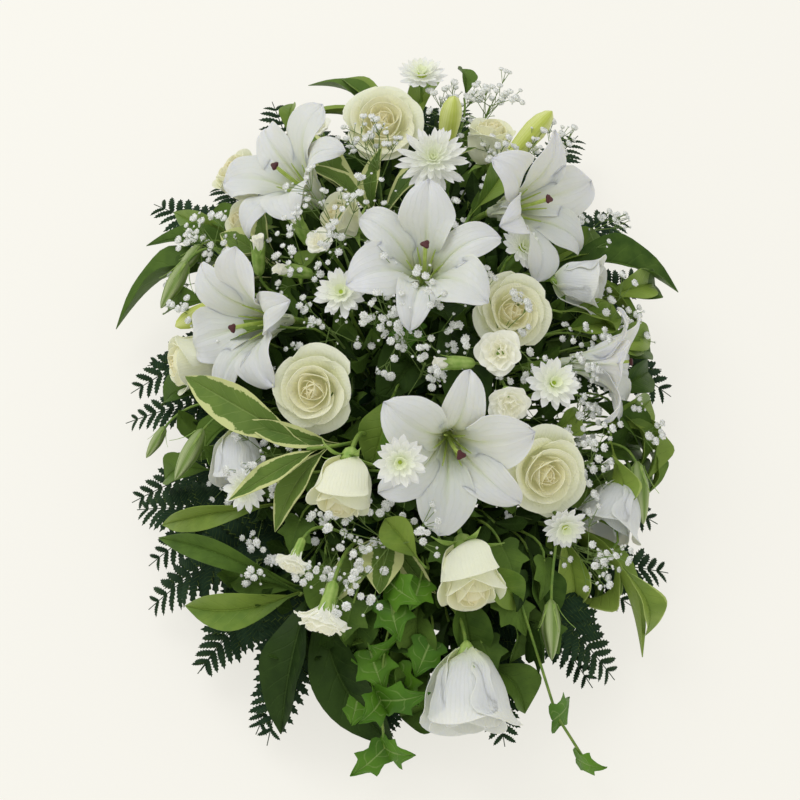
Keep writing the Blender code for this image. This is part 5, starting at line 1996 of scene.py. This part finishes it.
@dataclass
class Veil(Plant):
    """Gypsophila: clouds of tiny florets on threads, about the tops of its stems."""

    tops: tuple
    lead: float = 0.4
    shift: tuple = (0.0, 0.0)
    reach: float = 75.0
    florets: int = 70
    joined: bool = True  # whether its stems meet, or each goes into the foam
    open_share: float = 0.62  # how many of its florets are open, and have the greater number of points

    @staticmethod
    def floret(around: int) -> Shell:
        """Makes a floret a millimetre in radius, which faces +Z.

        Args:
            around: The points of a ring.

        Returns:
            The floret.
        """
        grid = spun(((0.3, -0.65), (0.95, -0.15), (0.92, 0.3), (0.4, 0.62)), around, 4)
        crest = np.cos(np.arange(around) * math.pi)[None, :]
        grid *= 1 + 0.13 * crest[:, :, None] * np.array([0.0, 1.0, -1.0, 0.6])[:, None, None] * (1, 1, 0)
        grid[:, :, 2] += 0.14 * crest * np.array([0, 1, -1, 1])[:, None]
        return Shell.round(grid, Look.FLORET, 0.8)

    def cloud(self, top: Vector, trunk: Sequence[Vector], rng: Rng) -> tuple[list, list, list]:
        """Spreads florets about a top, above the stem under it.

        Args:
            top: The stem's top.
            trunk: Its points, from the top down.
            rng: The source of its chances.

        Returns:
            The threads, the florets' places and the ways that they face.
        """
        threads, spots, ways = [], [], []
        axis = outward(top)
        while len(spots) < self.florets:
            start = trunk[0].lerp(trunk[3], rng.uniform(0, 1))
            way = (Vector(rng.uniform(-1, 1, 3)).normalized() + axis * 0.75).normalized()
            fork = start + way * self.reach * rng.uniform(0.35, 0.75)
            sag = start.lerp(fork, 0.5) - axis * self.reach * 0.05
            threads.append(([start, sag, fork], [0.7, 0.55, 0.4]))
            for _ in range(int(rng.integers(3, 8))):
                turn = (way + Vector(rng.uniform(-1, 1, 3)) * 0.9 + axis * 0.3).normalized()
                spot = fork + turn * self.reach * rng.uniform(0.1, 0.36)
                threads.append(([fork, fork.lerp(spot, 0.55) + axis, spot], [0.4, 0.35, 0.45]))
                spots.append(spot)
                ways.append((turn * 0.5 + axis).normalized())
        return threads, spots, ways

    def build(self, name: str) -> None:
        """Makes the stems, the threads and the florets."""
        rng, line, lines, clouds = drawn(name), None, [], []
        for point in self.tops:
            top = Vector(point)
            if line is None or not self.joined:
                line = trunk = FOAM.stem(top, outward(top), self.lead, self.shift)
            else:
                trunk = side_stalk(top, outward(top), line)
            lines.append((trunk, 1.3 if trunk is line else 1.0))
            clouds.append(self.cloud(top, trunk, rng))
        threads, spots, ways = (sum(parts, []) for parts in zip(*clouds))
        across = np.array([way.orthogonal() for way in ways])
        spots, ways = np.array(spots), np.array(ways)
        full = rng.uniform(0, 1, len(spots)) < self.open_share
        sizes = np.where(full, rng.uniform(3.0, 4.8, len(spots)), 1.6)
        chances = seed_of(rng), math.pi, 0.85, 1.1
        shells = [Workshop.stems(lines, Look.THREAD, 6, 10), Workshop.stems(threads, Look.THREAD, 3, 40)]
        for kept, around in ((full, 14), (~full, 8)):
            where = spots[kept], ways[kept], across[kept], sizes[kept]
            shells.append(Workshop.spread(self.floret(around), *where, *chances))
        fitted(f"{name}_florets", shells, name if self.joined else "")


@dataclass
class Thicket(Plant):
    """The dark leaves under the flowers, dark in their own green and in painted shade, on twigs that stand
    in the foam out of sight.
    """

    look: Look = Look.DARK
    twigs: int = 104
    leaves: int = 8
    size: float = 46.0
    height: float = 122.0
    start: float = 0.0
    across: float = 222.0
    along: float = 366.0
    low: float = 42.0
    stray: float = 18.0  # how far a twig may go into the foam beside its place

    def tips(self) -> list[Vector]:
        """Returns where the twigs end, on a low dome over the foam."""
        tips = []
        for number in range(self.twigs):
            share = math.sqrt((number + 0.5) / self.twigs) * 0.93
            angle = math.radians(GOLDEN * number + self.start)
            x, y = self.across * share * math.cos(angle), self.along * share * math.sin(angle)
            tips.append(Vector((x, y, self.low + self.height * math.sqrt(1 - share * share))))
        return tips

    def build(self, name: str) -> None:
        """Makes the twigs and their leaves."""
        rng, lines, spots, ways, across = drawn(name), [], [], [], []
        for tip in self.tips():
            way = Vector((tip.x, tip.y, 60.0)).normalized()
            line = FOAM.stem(tip, way, 0.4, tuple(rng.uniform(-self.stray, self.stray, 2)))
            lines.append((line, 1.2))
            for number in range(self.leaves):
                spot = line[int(number * 1.6)]
                turn = math.radians(GOLDEN * number) + tip.x
                side = Vector((math.cos(turn), math.sin(turn), 0.25))
                spots.append(spot)
                ways.append((way * (1.1 - number * 0.1) + side * 0.9).normalized())
                across.append(ways[-1].cross(outward(spot) + side * 0.3).normalized())
        shape = Blade(self.look, 0.16, 0.5, 0.06, 1.0, 0.08, 7, 3).surface(1.0, 0.42, rng)
        blade = Shell.sheet(shape[:, :, [0, 2, 1]], 0.012, self.look)
        chances = seed_of(rng), 0.5, 0.7, 1.15
        leaves = Workshop.spread(blade, spots, ways, across, self.size, *chances)
        fitted(name, [Workshop.stems(lines, Look.STEM, 4, 20), leaves])


# Where each plant is, as in the solid model, and then what grows between them

MIST = (
    (-200, 124, 170), (-202, 41, 140), (-139, -133, 180), (-72, -3, 210), (25, -48, 215), (2, -209, 180),
    (173, -23, 170), (228, 38, 140), (196, -120, 140), (-144, -220, 115), (104, 351, 130), (180, 298, 120),
    (210, 176, 130), (240, -63, 110), (-105, 77, 210), (63, 332, 150),
)
PLANTS = {
    "lily_1": FlowerStem(Head.LILY, ((25, 45, 250, 6, 0, 84),)),
    "lily_2": FlowerStem(Head.LILY, ((50, -155, 240, 45, 5, 20),), 0.4, (0, 10)),
    "lily_3": FlowerStem(
        Head.LILY,
        ((130, 155, 205, 52, 68, 90), (55, 265, 210, 20, 160, 0, 1.05, Head.LILY_BUD),
         (145, 275, 175, 65, 132, 0, 1.1, Head.LILY_BUD)),
    ),
    "lily_4": FlowerStem(
        Head.LILY, ((-145, 10, 205, 54, -58), (-215, 55, 150, 86, -55, 0, 0.9, Head.LILY_BUD)),
    ),
    "lily_5": FlowerStem(Head.LILY, ((-110, 190, 200, 38, -98, 30),)),
    "lily_6": FlowerStem(Head.LILY, ((205, -20, 170, 82, 82, 0, 0.85),)),
    "rose_1": FlowerStem(Head.ROSE, ((-20, 295, 185, 12, 0, 0, 1.2),)),
    "rose_2": FlowerStem(Head.ROSE, ((-90, -90, 232, 37, -13, 20, 1.1),)),
    "rose_3": FlowerStem(Head.ROSE, ((120, 10, 225, 31, 20, 40, 1.05),)),
    "rose_4": FlowerStem(Head.ROSE, ((150, -165, 190, 43, 20, 10, 1.12),)),
    "rose_5": FlowerStem(Head.HALF_ROSE, ((-60, -210, 215, 100, -12, 0, 1.15),)),
    "rose_6": FlowerStem(Head.HALF_ROSE, ((70, -290, 180, 90, 8, 0, 1.25),)),
    "rose_7": FlowerStem(Head.HALF_ROSE, ((-70, 130, 230, 38, -86, 0, 0.85),)),
    "rose_8": FlowerStem(Head.HALF_ROSE, ((105, 295, 165, 31, 163),)),
    "rose_9": FlowerStem(Head.HALF_ROSE, ((-240, 0, 135, 82, -74, 0, 1.1),)),
    "rose_10": FlowerStem(
        Head.HALF_ROSE, ((-195, 270, 125, 51, -121, 0, 1.05), (-180, 180, 150, 40, -80, 0, 0.8)),
    ),
    "chrysanthemum_1": FlowerStem(
        Head.DOUBLE_DAISY, ((35, 190, 245, 15, 0, 0, 1.12), (25, 380, 155, 15, 180, 0, 1.2, Head.DAISY)),
    ),
    "chrysanthemum_2": FlowerStem(Head.DAISY, ((-60, 20, 245, 13, -31, 0, 1.2),)),
    "chrysanthemum_3": FlowerStem(
        Head.DAISY, ((155, -70, 215, 25, 45, 0, 1.2), (130, 100, 210, 35, 85, 0, 1.1)), 0.55, (5, -30),
    ),
    "chrysanthemum_4": FlowerStem(
        Head.DAISY, ((0, -200, 290, 40, 5, 0, 1.1), (-155, -175, 185, 50, -35)), 0.4, (5, -30),
    ),
    "chrysanthemum_5": FlowerStem(Head.DAISY, ((165, -205, 160, 60, 15),), 0.45, (-15, 30)),
    "carnation_1": FlowerStem(
        Head.CARNATION, ((-75, -310, 165, 110, -16, 0, 1.1), (-105, -255, 180, 100, -20, 0, 0.75)),
    ),
    "carnation_2": FlowerStem(
        Head.CARNATION,
        ((100, -45, 235, 31, -19, 0, 0.95), (110, -100, 225, 60, 6, 0, 0.85),
         (45, -55, 230, 73, -80, 0, 1.0, Head.CARNATION_BUD)),
    ),
    "carnation_3": FlowerStem(
        Head.CARNATION,
        ((-85, 90, 235, 25, -65, 0, 0.6), (-110, 125, 225, 35, -135, 0, 1.0, Head.CARNATION_BUD),
         (-120, 65, 220, 60, -80, 0, 1.0, Head.CARNATION_BUD),
         (-150, 100, 210, 30, 180, 0, 1.0, Head.CARNATION_BUD)),
    ),
    "carnation_4": FlowerStem(Head.CARNATION, ((-95, 295, 165, 27, -123, 0, 0.7),)),
    "lisianthus_1": FlowerStem(
        Head.LISIANTHUS,
        ((-165, -130, 160, 105, 5, 0, 0.9), (-220, -115, 140, 110, -30, 0, 1.0, Head.LISIANTHUS_BUD),
         (-260, -80, 105, 105, -30, 0, 0.65, Head.LISIANTHUS_BUD)),
        0.25, (-20, 40),
    ),
    "lisianthus_2": FlowerStem(Head.LISIANTHUS, ((65, -375, 130, 102, 0, 0, 1.3),)),
    "lisianthus_3": FlowerStem(Head.LISIANTHUS, ((195, 70, 185, 82, 75, 0, 0.85),)),
    "lisianthus_4": FlowerStem(
        Head.LISIANTHUS,
        ((220, -160, 105, 96, -28), (250, -145, 110, 110, 5, 0, 1.1, Head.LISIANTHUS_BUD),
         (150, -305, 125, 110, 0, 0, 1.0, Head.LISIANTHUS_BUD)),
    ),
    "lisianthus_5": FlowerStem(
        Head.LISIANTHUS_BUD, ((-250, 105, 125, 110, -30), (-235, 135, 130, 90, -30, 0, 0.8)), 0.45,
        (0, -30),
    ),
    "variegated_1": Sprig(
        Look.VARIEGATED, (-90, -140, 205),
        ((-220, -50, 195, 45), (-170, -190, 190, 26), (-125, -210, 160, 30), (-160, -110, 210, 24)), 0.55,
        (-20, 40),
    ),
    "variegated_2": Sprig(
        Look.VARIEGATED, (-30, 175, 170),
        ((-105, 285, 170, 34), (-20, 240, 200, 22), (-105, 215, 200, 26), (85, 255, 180, 30)), 0.45,
        (10, 20),
    ),
    "variegated_3": Sprig(
        Look.VARIEGATED, (-15, -210, 155),
        ((-20, -280, 165, 42), (-80, -285, 135, 30), (35, -275, 155, 24)), 0.3, (0, 20),
    ),
    "variegated_4": Sprig(
        Look.VARIEGATED, (-140, 120, 145),
        ((-200, 170, 135, 30), (-215, 80, 185, 28), (-150, 195, 170, 28), (-200, 30, 170, 28)), 0.3,
        (-15, 10),
    ),
    "laurel_1": Sprig(
        Look.LAUREL, (-100, -255, 110),
        ((-250, -185, 95, 26, 20, Look.SHADED), (-220, -255, 80, 38),
         (-180, -210, 95, 34, 10, Look.SHADED), (-120, -380, 45, 54, 10, Look.DARK),
         (-5, -390, 30, 56, -10, Look.DARK)),
        0.6, (0, -20),
    ),
    "laurel_2": Sprig(
        Look.LAUREL, (155, -160, 85),
        ((160, -260, 65, 36, 20), (200, -255, 60, 34, -20), (250, -295, 40, 36, -25),
         (255, -85, 50, 42, 10)),
        0.4, (15, -10),
    ),
    "laurel_3": Sprig(
        Look.LAUREL, (145, 125, 120),
        ((312, 125, 85, 50, 0, Look.SHADED), (245, 175, 85, 36), (235, 45, 110, 42, 10),
         (275, 55, 90, 34, -10)),
    ),
    "laurel_4": Sprig(
        Look.LAUREL, (-155, 145, 100),
        ((-320, 95, 55, 48, 0, Look.SHADED), (-260, 235, 85, 28), (-290, 195, 75, 26, 0, Look.SHADED)),
        0.6,
    ),
    "laurel_5": Sprig(
        Look.LAUREL, (0, 305, 100),
        ((-110, 425, 80, 28, 0, Look.SHADED), (-75, 430, 85, 30), (50, 438, 80, 30), (-120, 355, 110, 26)),
    ),
    "laurel_6": Sprig(
        Look.DARK, (40, 55, 165),
        ((55, 25, 175, 62), (65, -125, 165, 62), (-25, -65, 155, 62), (-30, 75, 160, 62),
         (-30, 95, 130, 58)),
        0.5, (20, 0),
    ),
    "fern_1": Fern(
        Look.FERN, (-70, -160, 80),
        ((-280, -135, 60, 100, 40), (-265, -235, 25, 100, 100), (-205, -310, 40, 100, 40),
         (-135, -385, 25, 100, 90)),
    ),
    "fern_2": Fern(
        Look.FERN, (-70, 125, 60),
        ((-300, 20, 40, 100, 50), (-290, 275, 45, 110, 30), (-155, 420, 55, 110, 60)), 0.6, (10, 10),
    ),
    "fern_3": Fern(
        Look.FERN, (70, -205, 75),
        ((105, -395, 50, 90, 40), (220, -320, 40, 100, 100), (285, -195, 30, 100, 40)), 0.4, (5, 0),
    ),
    "fern_4": Fern(
        Look.FERN, (75, 130, 80),
        ((300, 10, 50, 110, 50), (265, 250, 50, 110, 30), (215, 380, 40, 110, 60)),
    ),
    "ivy_1": Vine(
        ((-20, -205, 120), (0, -275, 165), (-15, -320, 130), (-20, -365, 100), (-15, -400, 60)),
        ((20, -295, 175, 44), (-30, -330, 155, 46), (30, -365, 120, 42), (-40, -395, 115, 42),
         (15, -415, 80, 38), (-50, -420, 35, 36)),
        0.4, (-20, 30),
    ),
    "ivy_2": Vine(
        ((95, -220, 105), (115, -260, 140), (135, -325, 125), (155, -375, 85), (185, -410, 50)),
        ((115, -290, 145, 54, 0, Look.DARK), (80, -245, 155, 44, 0, Look.DARK),
         (140, -340, 140, 52, 0, Look.DARK), (170, -350, 70, 40), (205, -420, 60, 34)),
        0.6, (20, -20),
    ),
    "gypsophila_1": Veil(((-70, 105, 245), (20, 5, 220), (-75, -285, 160)), 0.35, (-15, -20)),
    "gypsophila_2": Veil(((205, 50, 130), (180, -85, 120), (190, -230, 130)), 0.3, (5, 30)),
    "gypsophila_3": Veil(((120, 240, 130), (50, 335, 120)), 0.5, (10, -10)),
    "gypsophila_4": Veil(((-185, 130, 115), (-170, 35, 125), (-145, -175, 115)), 0.4, (5, -10)),
    "gypsophila_cloud": Veil(
        ((0, -20, 225), (105, -5, 205), (-25, 215, 205), (30, 130, 215), (-10, -240, 190)), joined=False,
        florets=50,
    ),
    "gypsophila_mist": Veil(MIST, joined=False, florets=36, reach=56.0),
    "dark_leaves": Thicket(),
    "shaded_leaves": Thicket(Look.SHADED, twigs=44, leaves=5, size=48.0, height=132.0, start=40.0),
    "fern_fringe": Fringe(
        ((-288, 60, 55), (-298, -15, 40), (-290, -90, 35), (-272, -165, 30), (-250, -228, 30),
         (-212, -300, 25), (-150, -368, 25), (-20, -375, 45), (30, 392, 70), (-40, 385, 70),
         (282, -160, 30), (248, -250, 30), (196, -325, 30), (290, 60, 50), (284, 150, 60), (250, 225, 75),
         (-222, 275, 70), (-110, 372, 75), (70, 385, 75), (168, 318, 75)),
    ),
    "loose_leaves": Loose(
        (((220, -90, 130), (190, -165, 110), 28, -35), ((230, -50, 125), (255, -100, 95), 30, 10),
         ((255, -70, 95), (265, -120, 70), 26, 0), ((170, 45, 170), (235, 35, 135), 32, 0),
         ((185, 30, 150), (265, 30, 110), 26, 15), ((215, 80, 140), (280, 125, 105), 34, 0),
         ((-120, -165, 135), (-250, -160, 75), 26, -25), ((-105, 5, 200), (-195, 0, 150), 22, 10),
         ((-5, -65, 190), (-30, -145, 165), 42, 0), ((75, 145, 205), (115, 225, 190), 34, 0),
         ((-70, 105, 200), (-105, 70, 180), 30, 0), ((20, -255, 185), (-15, -210, 190), 34, 0),
         ((70, -245, 165), (120, -280, 130), 36, 10), ((253, -127, 90), (254, -35, 95), 38, 0),
         ((153, -90, 150), (186, -64, 150), 32, 0), ((203, -65, 120), (270, -20, 95), 36, 0),
         ((171, 34, 150), (239, 56, 140), 36, 0), ((204, 22, 140), (273, 49, 110), 32, 10),
         ((-126, 304, 130), (-124, 361, 125), 20, 20)),
    ),
    "curled_leaves": Loose(
        (((165, -181, 110), (179, -253, 60), 34, 50), ((220, -201, 105), (167, -243, 75), 42, -40),
         ((224, -213, 95), (254, -273, 45), 30, 20), ((200, -165, 120), (219, -112, 140), 34, 60)),
        Look.CURLED, bow=0.4,
    ),
    "shaded_sprays": Loose(
        (((55, -340, 70), (0, -362, 45), 44, 20), ((85, -318, 85), (126, -362, 55), 44, -15),
         ((-75, -225, 140), (-60, -290, 120), 40, 10), ((-30, -250, 130), (-45, -318, 100), 44, -10),
         ((20, -270, 130), (25, -330, 100), 40, 10), ((-20, -290, 95), (-25, -345, 60), 42, 0),
         ((-5, -265, 110), (10, -350, 60), 42, 0), ((60, -255, 130), (75, -325, 95), 42, 0),
         ((105, -250, 120), (110, -320, 85), 44, -10), ((130, -210, 120), (150, -280, 90), 40, 10),
         ((76, 379, 110), (69, 430, 105), 24, 0), ((241, 92, 120), (285, 128, 95), 34, 0),
         ((196, -40, 130), (262, -80, 85), 36, 20), ((-150, 60, 120), (-225, 40, 90), 34, 10),
         ((-160, 170, 120), (-215, 215, 110), 30, 0), ((-140, -60, 140), (-215, -95, 95), 34, 0),
         ((199, -68, 110), (263, -24, 75), 40, 10), ((189, -96, 110), (259, -68, 70), 40, -10),
         ((212, -103, 90), (272, -94, 55), 36, 0), ((214, -26, 115), (272, 24, 80), 36, 0),
         ((200, 28, 120), (278, 56, 70), 38, 0), ((-205, 132, 120), (-257, 138, 80), 34, 0),
         ((-203, 92, 120), (-260, 105, 75), 36, 0), ((-209, -23, 110), (-257, -12, 70), 32, 0),
         ((-194, -114, 110), (-251, -104, 70), 34, 0), ((-5, -297, 90), (-29, -280, 70), 30, 0)),
        Look.SHADED,
    ),
    "bright_ivy": LooseIvy(
        (((-10, -280, 150), (0, -320, 140), 46, 0), ((-30, -320, 120), (-15, -360, 105), 48, -10),
         ((30, -315, 130), (15, -345, 110), 44, 15), ((20, -265, 165), (10, -295, 160), 42, 0),
         ((-5, -335, 110), (20, -365, 85), 42, 20), ((10, 10, 205), (5, -25, 200), 42, 0),
         ((-40, -345, 80), (-50, -380, 60), 44, -10)),
    ),
    "dark_ivy": LooseIvy(
        (((100, -225, 165), (115, -265, 150), 46, 10), ((105, -270, 140), (125, -305, 120), 48, 0),
         ((145, -230, 140), (140, -270, 125), 44, -10), ((80, -310, 120), (95, -340, 100), 46, 10),
         ((40, -230, 180), (50, -260, 175), 42, 0), ((-45, -280, 150), (-55, -315, 130), 44, 0),
         ((140, -285, 110), (160, -310, 85), 44, 20), ((-100, -195, 160), (-110, -225, 140), 42, -10),
         ((-50, -155, 190), (-60, -190, 180), 40, 0)),
        Look.SHADED,
    ),
}
HOLDER = {"tray": Look.TRAY, "foam_block": Look.FOAM, "tape_front": Look.TAPE, "tape_back": Look.TAPE}


# The studio


@dataclass
class Lamp:
    """A soft square lamp that points at the spray."""

    name: str
    place: tuple
    power: float
    size: float

    def build(self, target: Vector) -> None:
        """Adds the lamp to the scene.

        Args:
            target: What it points at.
        """
        light = bpy.data.lights.new(self.name, "AREA")
        light.energy = self.power
        light.size = self.size
        lamp = added(self.name, light)
        lamp.location = self.place
        lamp.rotation_euler = (target - lamp.location).to_track_quat("-Z", "Y").to_euler()


@dataclass
class Studio:
    """A pale floor, soft lamps and the camera, in metres."""

    target: tuple = (0.0, 0.0, 0.06)
    distance: float = 2.1
    elevation: float = 60.0
    lens: float = 85.9
    world: float = 0.66
    side: float = 12.0
    floor: tuple = (0.22, 0.217, 0.202)
    floor_light: tuple = (0.731, 0.717, 0.664)
    lamps: tuple = (
        Lamp("key", (-1.0, 0.8, 2.3), 22.0, 1.6),
        Lamp("fill", (1.6, -0.6, 2.0), 2.0, 2.0),
        Lamp("front", (-0.2, -2.2, 1.6), 3.0, 2.0),
    )

    def floor_material(self) -> bpy.types.Material:
        """Returns the material of the floor: pale, with a very faint unevenness."""
        made = bpy.data.materials.new("studio_floor")
        web = Web.of(made)
        colour = web.mixed(web.noise(1.5) * 0.1, self.floor, tuple(part * 0.97 for part in self.floor))
        values = {"Base Color": colour, "Roughness": 0.9, "Specular IOR Level": 0.1}
        values |= {"Emission Color": self.floor_light, "Emission Strength": 1.0}
        shader = web.out("ShaderNodeBsdfPrincipled", None, values)
        web.node("ShaderNodeOutputMaterial", None, {"Surface": shader})
        return made

    def add_floor(self) -> None:
        """Adds the floor."""
        mesh = bpy.data.meshes.new("studio_floor")
        corners = [(x * self.side, y * self.side, 0) for x, y in ((-1, -1), (1, -1), (1, 1), (-1, 1))]
        mesh.from_pydata(corners, [], [(0, 1, 2, 3)])
        mesh.materials.append(self.floor_material())
        floor = added("studio_floor", mesh)

    def add_world(self) -> None:
        """Adds the soft light that comes from all round."""
        world = bpy.data.worlds.new("soft_room")
        web = Web.of(world)
        light = web.out("ShaderNodeBackground", None, {"Color": (1.0, 0.99, 0.97), "Strength": self.world})
        web.node("ShaderNodeOutputWorld", None, {"Surface": light})
        bpy.context.scene.world = world

    def add_camera(self) -> None:
        """Adds the camera, on the photograph's line of sight."""
        target, lean = Vector(self.target), math.radians(self.elevation)
        camera = added("camera", bpy.data.cameras.new("camera"))
        camera.data.lens = self.lens
        camera.data.clip_start, camera.data.clip_end = 0.05, 60.0
        camera.location = target + Vector((0, -math.cos(lean), math.sin(lean))) * self.distance
        camera.rotation_euler = (target - camera.location).to_track_quat("-Z", "Y").to_euler()
        bpy.context.scene.camera = camera
        bpy.context.scene.view_settings.view_transform = "Standard"

    def build(self) -> None:
        """Adds the floor, the world's light, the lamps and the camera."""
        self.add_floor()
        self.add_world()
        for lamp in self.lamps:
            lamp.build(Vector(self.target))
        self.add_camera()


class Spray:
    """The whole casket spray."""

    def build(self) -> None:
        """Makes every plant, and dresses the holder."""
        for name, plant in PLANTS.items():
            plant.build(name)
        for name, look in HOLDER.items():
            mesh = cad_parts[name].data
            mesh.materials.clear()
            mesh.materials.append(look.material)


def main() -> None:
    """Builds the spray and the studio."""
    logging.basicConfig(level=logging.INFO, format="%(name)s: %(message)s")
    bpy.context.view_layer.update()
    Spray().build()
    Studio().build()


if __name__ == "__main__":
    main()
